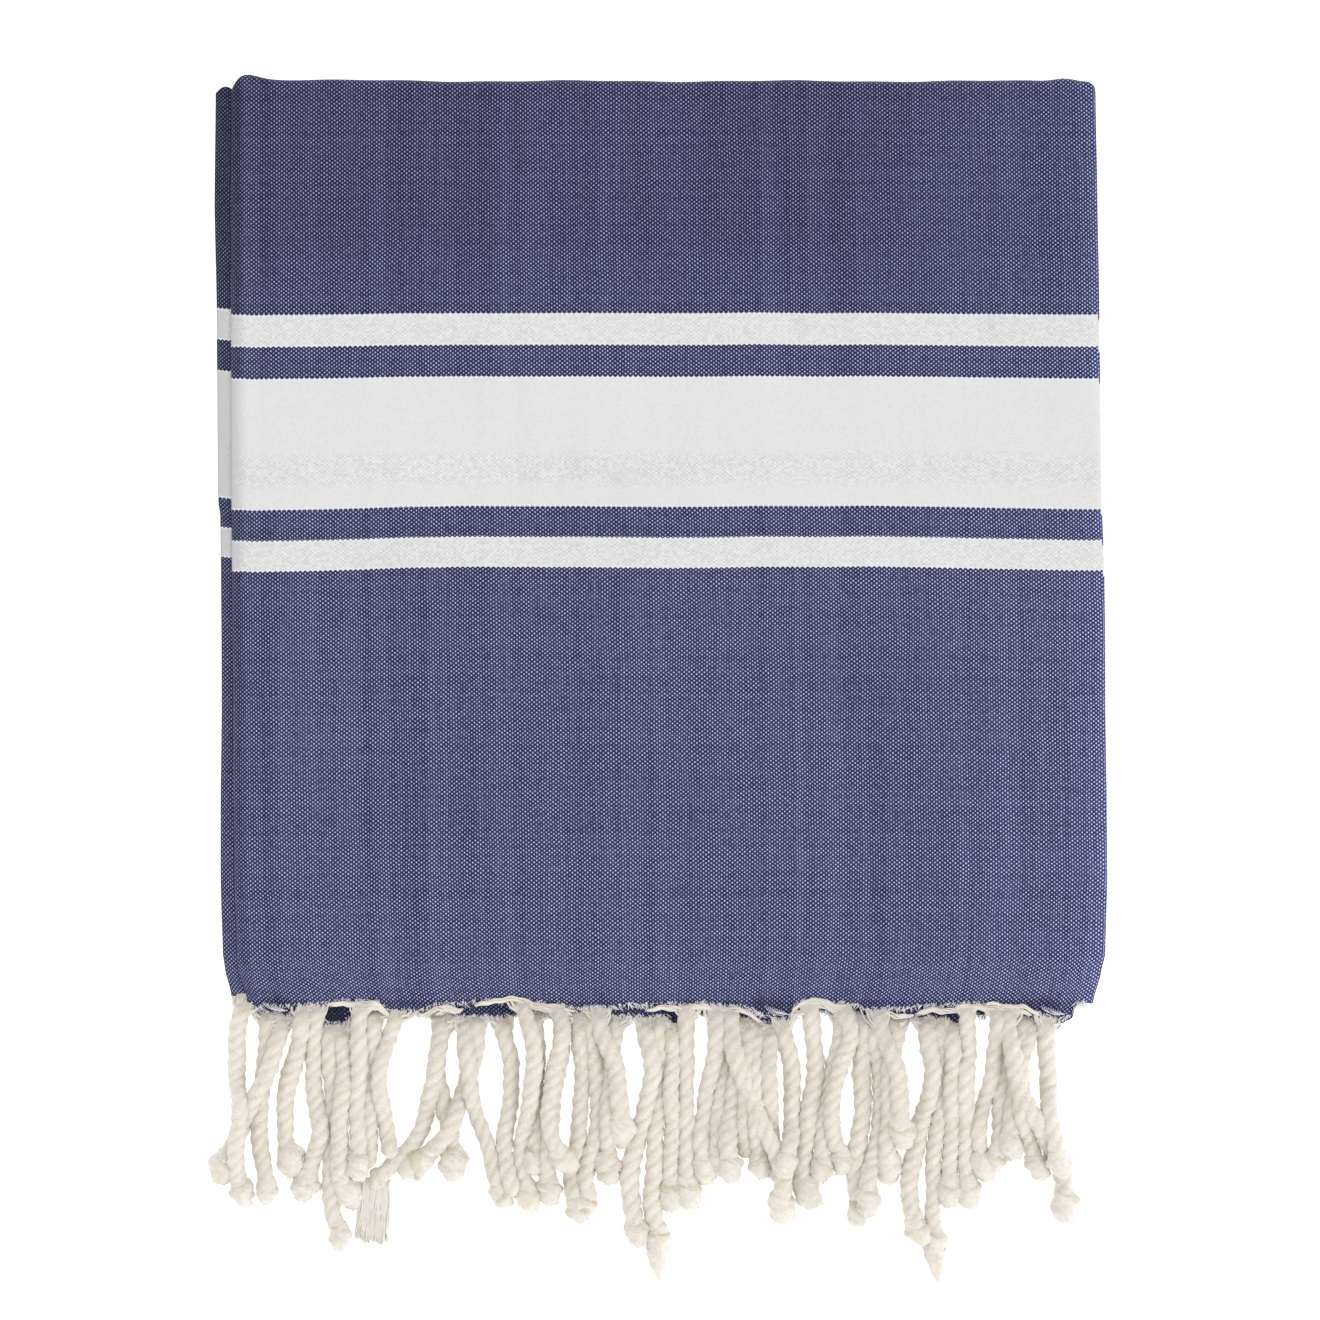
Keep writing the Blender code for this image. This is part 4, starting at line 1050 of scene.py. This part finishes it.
def lay_strand(mesh, strand, number):
    """A loose bunch of yarns along the hem, hanging a little between its ends."""
    chance = random.Random(number + 900)
    count = max(8, int((strand.last - strand.first) / 0.0016))
    for yarn in range(YARNS):
        first = strand.first + chance.uniform(-0.0022, 0.0022)
        last = strand.last + chance.uniform(-0.0022, 0.0022)
        thick = strand.thickness * chance.uniform(0.28, 0.46)
        path = []
        for t in evenly(count):
            x = first + (last - first) * t
            swell = 0.35 + 0.65 * abs(math.sin(math.pi * t)) ** 0.5
            tucked = 1 - math.sin(math.pi * min(max(t, 0.02), 0.98)) ** 0.3
            sag = 0.0012 * math.sin(t * 9 + number) - 0.0030 * tucked
            angle = 2 * math.pi * yarn / YARNS + 110 * (x - strand.first) + 0.5 * math.sin(t * 11 + yarn)
            apart = strand.thickness * 0.70 * swell
            below = strand.below + 0.0004 + strand.thickness * 0.4 - sag * 0.6 - apart * math.cos(angle)
            point = hem_spot(strand.layer, x, below)
            point.z += 0.0008 + strand.thickness * 0.6 + apart * 0.7 * math.sin(angle)
            path.append(point)
        sizes = [thick * (0.8 + 0.2 * math.sin(k * 0.9 + yarn)) for k in range(count + 1)]
        mesh.tube(path, sizes, sides=7, lobed=0.0, seed=yarn)


strand_mesh = TubeMesh()
for number, strand in enumerate(HEM_STRANDS):
    lay_strand(strand_mesh, strand, number)
hem_strands = strand_mesh.finish("hem_strands")

# %% Short ends and curved yarns
YARNS_PER_DIP = 9
LASH_THICKNESS, FRAY_THICKNESS = 0.00021, 0.00036
FRAY_SPAN = {"front": (-0.236, 0.246), "back": (-0.243, 0.232)}
Lash = namedtuple("Lash", "x y aside down")
LASHES = rows(
    Lash,
    (-0.2290, -0.1975, 0.0110, 0.0056),
    (0.0610, -0.1995, 0.0105, 0.0056),
    (0.2205, -0.1995, 0.0105, 0.0056),
)


def lay_lashes(mesh, lash, chance):
    """Loose weft yarns that curve round where the hem dips."""
    for number in range(YARNS_PER_DIP):
        share = 1 - 0.08 * number
        start = Vector((lash.x + 0.0013 * number, lash.y - 0.0004 * number, 0))
        aside = lash.aside * share * chance.uniform(0.8, 1.1)
        down = lash.down * share * chance.uniform(0.85, 1.05)
        path = []
        for t in evenly(6):
            turn = UPRIGHT * t
            point = start + Vector((aside * (1 - math.cos(turn)), -down * math.sin(turn), 0))
            point.z = hem_spot("front", point.x).z + 0.0009 + 0.0004 * math.sin(2 * turn)
            path.append(point)
        mesh.thread(path, LASH_THICKNESS, 4, chance)


def fray(name, layer_counts, length, seed, lashes=()):
    """Short yarn ends that stand out from the hems, mostly downwards and some along the edge."""
    chance = random.Random(seed)
    mesh = TubeMesh()
    sizes = [FRAY_THICKNESS * (1 - 0.3 * t) for t in evenly(3)]
    for lash in lashes:
        lay_lashes(mesh, lash, chance)
    for layer, count in layer_counts:
        for _ in range(count):
            x = chance.uniform(*FRAY_SPAN[layer])
            start = hem_spot(layer, x, chance.uniform(-0.0017, 0.0002))
            start.z += 0.0005
            way = Vector((chance.gauss(0, 0.9), -1.0, 0)).normalized()
            reach = length * chance.uniform(0.4, 1.0)
            curl = chance.uniform(-0.5, 0.5)
            path = []
            for t in evenly(3):
                point = start + way * (reach * t) + Vector((curl * reach * t * t, 0, 0))
                point.z = max(0.0004, start.z + 0.0006 * math.sin(math.pi * t) - (start.z * 0.25) * t)
                path.append(point)
            mesh.thread(path, sizes, 4, chance)
    return mesh.finish(name)


light_fray = fray("hem_fray_light", (("front", 760), ("back", 760)), length=0.0042, seed=31, lashes=LASHES)
navy_fray = fray("hem_fray_navy", (("front", 340), ("back", 420)), length=0.0034, seed=47)

# %% [markdown]
# ## Materials
# A material is a chain of small sums. `Wire` lets them be written as plain arithmetic: adding or
# multiplying a wire adds the Math node that does it. `Finish` starts a material and adds any other node.

# %% Helpers for materials
class Wire:
    """A number that flows through a material."""

    def __init__(self, tree, socket):
        self.tree, self.socket = tree, socket

    def _math(self, operation, *values, clamp=False):
        node = self.tree.nodes.new("ShaderNodeMath")
        node.operation = operation
        node.use_clamp = clamp
        for index, value in enumerate(values):
            if isinstance(value, Wire):
                self.tree.links.new(value.socket, node.inputs[index])
            else:
                node.inputs[index].default_value = value
        return Wire(self.tree, node.outputs[0])

    def __add__(self, other):
        return self._math("ADD", self, other)

    def __sub__(self, other):
        return self._math("SUBTRACT", self, other)

    def __rsub__(self, other):
        return self._math("SUBTRACT", other, self)

    def __mul__(self, other):
        return self._math("MULTIPLY", self, other)

    def __truediv__(self, other):
        return self._math("DIVIDE", self, other)

    __radd__, __rmul__ = __add__, __mul__

    def cos(self):
        return self._math("COSINE", self)

    def floor(self):
        return self._math("FLOOR", self)

    def abs(self):
        return self._math("ABSOLUTE", self)

    def clamp(self):
        return self._math("ADD", self, 0.0, clamp=True)

    def above(self, limit, softness):
        """0 below the limit and 1 above it, over a soft edge."""
        return ((self - limit) / softness + 0.5).clamp()

    def between(self, low, high, softness):
        """1 between two limits."""
        return self.above(low, softness) * (1.0 - self.above(high, softness))

    def within(self, stretches, softness):
        """1 in each of the stretches, which don't meet."""
        return sum(self.between(low, high, softness) for low, high in stretches)


class Finish:
    """A material under construction."""

    def __init__(self, name, **fixed):
        self.material = bpy.data.materials.new(name)
        self.material.use_nodes = True
        self.tree = self.material.node_tree
        self.shader = self.tree.nodes["Principled BSDF"]
        for socket, value in fixed.items():
            self.shader.inputs[socket.replace("_", " ")].default_value = value

    def node(self, kind, settings=None, inputs=None):
        """Any node: its type, its settings, then what goes in."""
        node = self.tree.nodes.new(kind)
        for setting, value in (settings or {}).items():
            setattr(node, setting, value)
        for socket, value in (inputs or {}).items():
            if isinstance(value, Wire):
                value = value.socket
            if isinstance(value, bpy.types.NodeSocket):
                self.tree.links.new(value, node.inputs[socket])
            else:
                node.inputs[socket].default_value = value
        return node

    def wire(self, node, output=0):
        return Wire(self.tree, node.outputs[output])

    def vector(self, x=0.0, y=0.0, z=0.0):
        return self.node("ShaderNodeCombineXYZ", None, {"X": x, "Y": y, "Z": z}).outputs[0]

    def noise(self, where, scale, detail=2.0):
        node = self.node("ShaderNodeTexNoise", None, {"Vector": where, "Scale": scale, "Detail": detail})
        return self.wire(node)

    def chance(self, where):
        node = self.node("ShaderNodeTexWhiteNoise", {"noise_dimensions": "2D"}, {"Vector": where})
        return self.wire(node)

    def mix(self, share, first, second):
        """A colour between two."""
        node = self.node("ShaderNodeMix", {"data_type": "RGBA"}, {0: share, 6: first, 7: second})
        return node.outputs[2]

    def scaled(self, colour, by):
        """A colour made lighter or darker."""
        return self.node("ShaderNodeVectorMath", {"operation": "SCALE"}, {0: colour, "Scale": by}).outputs[0]

    def plug(self, socket, value):
        self.tree.links.new(value.socket if isinstance(value, Wire) else value, self.shader.inputs[socket])

    def bump(self, height, strength, distance):
        inputs = {"Height": height, "Strength": strength, "Distance": distance}
        self.plug("Normal", self.node("ShaderNodeBump", None, inputs).outputs[0])


LIGHT_LEVEL = 1.26        # how far the light lifts a surface above its own colour


def shade(red, green, blue):
    """A colour as seen on a screen, 0 to 255, as the linear colour that a material holds."""
    return (*(((value / 255 + 0.055) / 1.055) ** 2.4 / LIGHT_LEVEL for value in (red, green, blue)), 1.0)


print("a shade of mid grey is", [round(value, 3) for value in shade(128, 128, 128)[:3]])

# %% [markdown]
# ## The woven cloth
# In this plain weave the light warp shows as dots between navy weft, set like bricks: a dot every 2.9 mm
# across and every 2.3 mm along, and one between each four. Two cosines multiplied give that pattern. In the
# bands white weft takes the navy's place, so their edges are scalloped by the threads. Each thread has its
# own shade and wanders a little, and the hem is darker where a layer dips or hangs out. An image would fix
# all of this at one size, and a pattern in sums stays sharp at any distance.

# %% The cloth's material
DOT_ACROSS, DOT_ALONG = 0.00144, 0.001155     # half the way from one dot to the next
Stretch = namedtuple("Stretch", "low high")
TABS = rows(Stretch, (-0.1940, -0.1800), (0.0062, 0.0152), (0.1682, 0.1778))  # where the back layer hangs out
DIPS = rows(Stretch, (-0.2290, -0.2130), (0.0620, 0.0790), (0.2220, 0.2420))  # where the front layer dips


def along_cloth(low, high):
    """A stretch of the face, as lengths along the cloth from its near hem."""
    return Stretch(low - NEAR_EDGE, high - NEAR_EDGE)


BANDS = (along_cloth(0.0518, 0.0695), along_cloth(0.0873, 0.1629), along_cloth(0.1812, 0.1997))
FLECK_BAND = along_cloth(0.1005, 0.1185)
NAVY_DARK, NAVY_PALE, NAVY_DOT = shade(17, 23, 60), shade(76, 82, 123), shade(194, 199, 233)
WHITE_DARK, WHITE_LIGHT, WHITE_EDGE = shade(204, 204, 204), shade(239, 239, 239), shade(238, 238, 248)


def woven_cloth():
    """Navy cloth with light dots, and its white bands."""
    cloth = Finish(
        "woven_cotton", Roughness=0.92, Sheen_Weight=0.10, Sheen_Roughness=0.5, Specular_IOR_Level=0.15
    )
    flat = cloth.node("ShaderNodeUVMap", {"uv_map": "weave"}).outputs[0]
    apart = cloth.node("ShaderNodeSeparateXYZ", None, {0: flat})
    across, along = cloth.wire(apart, 0), cloth.wire(apart, 1)
    wander = cloth.noise(cloth.vector(across * 55.0, along * 30.0), 1.0, 1.0) - 0.5
    drift = cloth.noise(cloth.vector(across * 28.0, along * 70.0, 3.0), 1.0, 1.0) - 0.5
    warp, weft = (across + wander * 0.0018) / DOT_ACROSS, (along + drift * 0.0016) / DOT_ALONG
    warp_wave, weft_wave = (warp * math.pi).cos(), (weft * math.pi).cos()
    weave = warp_wave * weft_wave
    dots = ((weave * warp_wave * warp_wave - 0.15) / 0.55).clamp()

    # Each thread's own shade.
    warp_shade = cloth.chance(cloth.vector((warp + 0.5).floor(), 4.0)) - 0.5
    weft_shade = cloth.chance(cloth.vector(7.0, (weft + 0.5).floor())) - 0.5
    speck = cloth.chance(cloth.vector((warp + 0.5).floor(), (weft + 0.5).floor())) - 0.5
    patches = cloth.noise(cloth.vector(across * 14.0, along * 9.0, 8.0), 1.0, 3.0) - 0.5
    streaks = cloth.noise(cloth.vector(across * 75.0, along * 3.5, 1.0), 1.0, 2.0) - 0.5

    # The bands, from the far end too, with scalloped edges.
    scallop = warp_wave * 0.00042
    from_ends = (along, FLAT_LENGTH - along)
    light = sum((place + scallop).within(BANDS, 0.0003) for place in from_ends)
    nearness = [(place - edge).abs() * -1.0 for place in from_ends for band in BANDS for edge in band]
    edges = sum(near.above(-0.0009, 0.0009) for near in nearness).clamp()
    flecks = along.between(*FLECK_BAND, 0.006)

    # The back layer's hem lies in shade, and the tabs that hang out of it most of all.
    behind = across.above(FLAT_WIDTH / 2 + 0.02, 0.01)
    back_hem = behind * (1.0 - along.above(0.0075, 0.003))
    from_left = EDGES[0].back_left + (FLAT_WIDTH - across) / scale_across
    in_tab = from_left.within(TABS, 0.002) * behind * (1.0 - along.above(0.0055, 0.002))

    # Dyed cloth: light dots on navy, paler towards the near hem and the fold. Painted highlight lightens the
    # fold's rim, and painted shade darkens the selvedges, where the cloth rolls down away from the light.
    selvedge = 1.0 - across.above(0.0050, 0.002) * (1.0 - across.above(FLAT_WIDTH - 0.0125, 0.002) * 1.4)
    from_fold = (across - FLAT_WIDTH / 2).abs()
    smooth = (1.0 - (from_fold / 0.0042)).clamp() * 0.75 + (1.0 - across.above(-0.0014, 0.0010)) * 0.5
    dot_light = dots * (0.92 + speck * 0.6 + warp_shade * 0.2 + weft_shade * 0.2) * (1.0 - smooth)
    dot_light = (dot_light + smooth * 0.22).clamp() * (1.0 - in_tab * 0.75)
    ground = weave * 0.30 * (1.0 - smooth) + 0.45 + warp_shade * 0.14 + weft_shade * 0.12
    ground = (ground + speck * 0.2 + streaks * 0.3).clamp()
    navy = cloth.mix(ground, NAVY_DARK, NAVY_PALE)
    navy = cloth.mix(dot_light, navy, NAVY_DOT)
    paler = 1.135 - along.clamp() * 0.46 - along.above(PAST_BANDS, 0.09) * 0.17
    paler = paler + across.above(0.12, 0.24) * 0.07 + across.above(0.44, 0.14) * 0.21
    paler = paler + patches * 0.22 + streaks * 0.16
    # Painted highlight on the fold's rim, where the cloth rolls over towards the light.
    fold_highlight = (1.0 - from_fold / 0.018).clamp()
    paler = (paler + fold_highlight * 0.34) * (1.0 - selvedge * (0.18 + along.clamp() * 0.46))
    # Painted shade along the front layer's hem edge, where it lies over the cords.
    front_edge = (1.0 - behind) * (1.0 - (along - drift * 0.006).above(0.0014, 0.0016))
    on_front = EDGES[0].front_left + across / scale_across
    in_dip = on_front.within(DIPS, 0.003) * (1.0 - behind) * (1.0 - along.above(0.0040, 0.003))
    for shaded, by in ((back_hem, 0.50), (in_tab, 0.30), (front_edge, 0.26), (in_dip, 0.30), (edges, 0.22)):
        paler = paler * (1.0 - shaded * by)
    navy = cloth.scaled(navy, paler)

    # Undyed bands: nearly plain, with a brighter line beside the dye.
    plain = along.between(*BANDS[1], 0.001) * (1.0 - flecks)
    ribs = (weave * 0.26 + speck * 0.5) * (1.0 - plain * 0.7)
    # Painted shade greys the white bands where the selvedges roll down away from the light.
    rolled = (1.0 - across / 0.0085).clamp() * 0.75 + (1.0 - (FLAT_WIDTH - across) / 0.013).clamp() * 0.85
    white_tone = (0.56 + ribs + plain * 0.10 + streaks * 0.25 + patches * 0.30 - rolled).clamp()
    white = cloth.mix(white_tone, WHITE_DARK, WHITE_LIGHT)
    white = cloth.mix(edges * 0.7, white, WHITE_EDGE)
    cloth.plug("Base Color", cloth.mix(light.clamp(), navy, white))
    cloth.bump(weave * 0.5 + speck * 0.5 + streaks * 0.6, 0.30, 0.00025)
    return cloth.material


towel.data.materials.clear()
towel.data.materials.append(woven_cloth())
print("cloth material has", len(towel.data.materials[0].node_tree.nodes), "nodes")

# %% [markdown]
# ## Cotton cord and loose yarn
# The cords are undyed cream cotton. Their strands are bundles of fibre, so fine lines run along each lobe,
# the grooves and sides hold some painted brown shade, and the shade changes from cord to cord. Faint stains
# cross them, and their roots lie in painted shade. They glow very slightly, a painted light that lifts their
# shadows in place of the light that comes through loose cotton. The loose yarns are the same cotton, and
# the navy ones have the cloth's dye.

# %% The cords' materials
STAIN = shade(221, 207, 179)
ROOT_SHADE = shade(160, 141, 115)


def cotton(name, deep, pale, groove_colour, lines=1.0, glow=0.06, root_shade=0.0):
    """Loose cotton in three shades. With lines at 0 it is plain, for yarns too thin to show any."""
    deep, pale, groove_colour = shade(*deep), shade(*pale), shade(*groove_colour)
    cord = Finish(
        # Painted light: a faint warm glow lifts the cotton's shadows.
        name, Roughness=0.95, Sheen_Weight=0.30, Sheen_Roughness=0.6, Specular_IOR_Level=0.18,
        Emission_Color=(1.0, 0.93, 0.82, 1.0), Emission_Strength=glow,
    )
    groove = cord.wire(cord.node("ShaderNodeAttribute", {"attribute_name": "groove"}), 2)
    place = cord.node("ShaderNodeAttribute", {"attribute_name": "place"}).outputs[1]
    apart = cord.node("ShaderNodeSeparateXYZ", None, {0: place})
    around, along, own = (cord.wire(apart, index) for index in range(3))
    spot = cord.node("ShaderNodeTexCoord").outputs["Object"]
    cloud = cord.noise(spot, 110.0, 3.0) - 0.5
    tufts = cord.noise(spot, 420.0, 2.0) - 0.5
    along_strand = cord.vector(along * 600.0 + around * 14.0, around * 30.0 - along * 1270.0, own)
    fibre = cord.noise(along_strand, 1.0, 3.0) - 0.5
    own_shade = cord.noise(cord.vector(own * 3.1, 5.0), 1.0, 0.0) - 0.5
    tone = (0.60 + cloud * 0.9 + (tufts * 1.4 + fibre * 1.1) * lines + own_shade * 0.6).clamp()
    colour = cord.mix(tone, deep, pale)
    stain = ((cord.noise(spot, 75.0, 3.0) - 0.54) * 6.0).clamp() * (0.40 * lines)
    colour = cord.mix(stain, colour, STAIN)
    # Painted shade: brown in the grooves, on each cord's sides and underside, and near its root.
    crease = ((groove - 0.055 + tufts * 0.12) * 7.0).clamp()
    under = ((around - 0.25).abs() * 4.4 - 0.62).clamp() * (0.35 + cloud * 2.6).clamp()
    near_root = (1.0 - along / 0.020).clamp() * (0.5 + cloud * 1.5)
    shadow = crease * (0.55 + cloud * 1.6).clamp() + (near_root * 0.6 + under * 0.8) * lines
    colour = cord.mix(shadow.clamp(), colour, groove_colour)
    if root_shade:
        hollow = (1.0 - along / 0.019).clamp() * ((cloud + tufts * 0.5 + 0.04) * 7.0).clamp()
        colour = cord.mix(hollow * root_shade, colour, ROOT_SHADE)
    cord.plug("Base Color", colour)
    if lines:
        cord.bump(fibre * 0.7 + tufts * 0.9 + cloud * 0.4 - crease * 0.3, 0.62, 0.0006)
    return cord.material


cream = cotton("cream_cotton", (219, 212, 200), (243, 237, 228), (204, 189, 162), root_shade=0.25)
# The back row's copy is a little darker, with more painted shade at its roots, as it lies under the front
# row.
cream_shaded_behind = cotton("cream_shaded_behind", (217, 210, 198), (241, 235, 226), (200, 184, 155), root_shade=0.8)
loose_cream = cotton("loose_cream", (223, 216, 205), (245, 239, 231), (215, 205, 185), lines=0.0)
loose_light = cotton("loose_cotton", (226, 220, 230), (252, 247, 253), (205, 198, 205), lines=0.0, glow=0.0)
loose_navy = cotton("loose_navy", (34, 36, 78), (64, 66, 118), (24, 26, 56), lines=0.0, glow=0.0)
for piece, finish in (
    (back_cords, cream_shaded_behind),
    (front_cords, cream),
    (far_cords, cream),
    (hem_strands, loose_cream),
    (loose_fibres, loose_cream),
    (light_fray, loose_light),
    (navy_fray, loose_navy),
):
    piece.data.materials.clear()
    piece.data.materials.append(finish)
print("cotton materials:", cream.name, cream_shaded_behind.name, loose_cream.name, loose_light.name, loose_navy.name)

# %% [markdown]
# ## Floor, light and camera
# The towel lies on a plain pale floor in bright, even light. A white sky does most of it, and a broad soft
# light from the right shows the rolled edges. The floor glows a little, as a light table does, so that no
# shadow shows on it and the cords are lit from below too. The camera looks straight down from high up
# through a long lens.

# %% Floor
FLOOR_SIZE = 8.0
FLOOR_TONES = ((0.93, 0.93, 0.93, 1.0), (0.95, 0.95, 0.95, 1.0))
WHITE = (1.0, 1.0, 1.0, 1.0)
bpy.ops.mesh.primitive_plane_add(size=FLOOR_SIZE, location=(0.0, 0.0, 0.0))
floor = only(bpy.context.active_object)
floor.name = "floor"
floor_finish = Finish(
    "pale_floor", Roughness=0.9, Specular_IOR_Level=0.1, Emission_Color=WHITE, Emission_Strength=0.6
)
floor_spot = floor_finish.node("ShaderNodeTexCoord").outputs["Object"]
floor_tone = floor_finish.noise(floor_spot, 6.0, 2.0)
floor_finish.plug("Base Color", floor_finish.mix(floor_tone, *FLOOR_TONES))
floor.data.materials.append(floor_finish.material)
print("the floor is", FLOOR_SIZE, "m wide")

# %% Light and camera
SKY_STRENGTH = 1.08
scene = bpy.context.scene
scene.view_settings.view_transform = "Standard"
sky = bpy.data.worlds.new("bright_studio")
scene.world = sky
sky.use_nodes = True
background = sky.node_tree.nodes["Background"]
background.inputs["Color"].default_value = WHITE
background.inputs["Strength"].default_value = SKY_STRENGTH


def soft_light(name, strength, angle, elevation, azimuth):
    """A distant light as broad as a window. Azimuth 0 is from the right, 90 from the picture's top."""
    lamp = bpy.data.lights.new(name, "SUN")
    lamp.energy = strength
    lamp.angle = math.radians(angle)
    holder = bpy.data.objects.new(name, lamp)
    up, round_z = math.radians(elevation), math.radians(azimuth)
    towards = Vector((math.cos(up) * math.cos(round_z), math.cos(up) * math.sin(round_z), math.sin(up)))
    holder.rotation_euler = towards.to_track_quat("Z", "Y").to_euler()
    scene.collection.objects.link(holder)


soft_light("window", strength=0.95, angle=50, elevation=38, azimuth=-38)

VIEW_WIDTH = 0.7603       # how much the picture shows, at the height of the stack's top
VIEW_LEVEL = 0.015        # that height
CAMERA_HEIGHT = 3.6       # of the camera above it
SENSOR_WIDTH = 36.0       # millimetres, as is the lens
lens = bpy.data.cameras.new("camera")
camera = bpy.data.objects.new("camera", lens)
camera.location = (PLACE.x, PLACE.y, CAMERA_HEIGHT + VIEW_LEVEL)
lens.sensor_width = SENSOR_WIDTH
lens.lens = SENSOR_WIDTH * CAMERA_HEIGHT / VIEW_WIDTH
lens.clip_end = 20.0
scene.collection.objects.link(camera)
scene.camera = camera
print("camera", CAMERA_HEIGHT, "m up with a", round(lens.lens), "mm lens")

# %% [markdown]
# ## Join the pieces to the solids
# Each piece rides on the root body, and the solid that it stands for is hidden.

# %% Ride and replace
for piece, node, slot in (
    (towel, "towel_cloth", "cloth"),
    (back_cords, "fringe_near", "cord"),
    (front_cords, "fringe_near", "cord"),
    (far_cords, "fringe_far", "cord"),
    (hem_strands, "fringe_near", "cord"),
    (loose_fibres, "fringe_near", "cord"),
    (light_fray, "fringe_near", "cord"),
    (navy_fray, "fringe_near", "cloth"),
):
    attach(piece, "root")
    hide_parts(node)
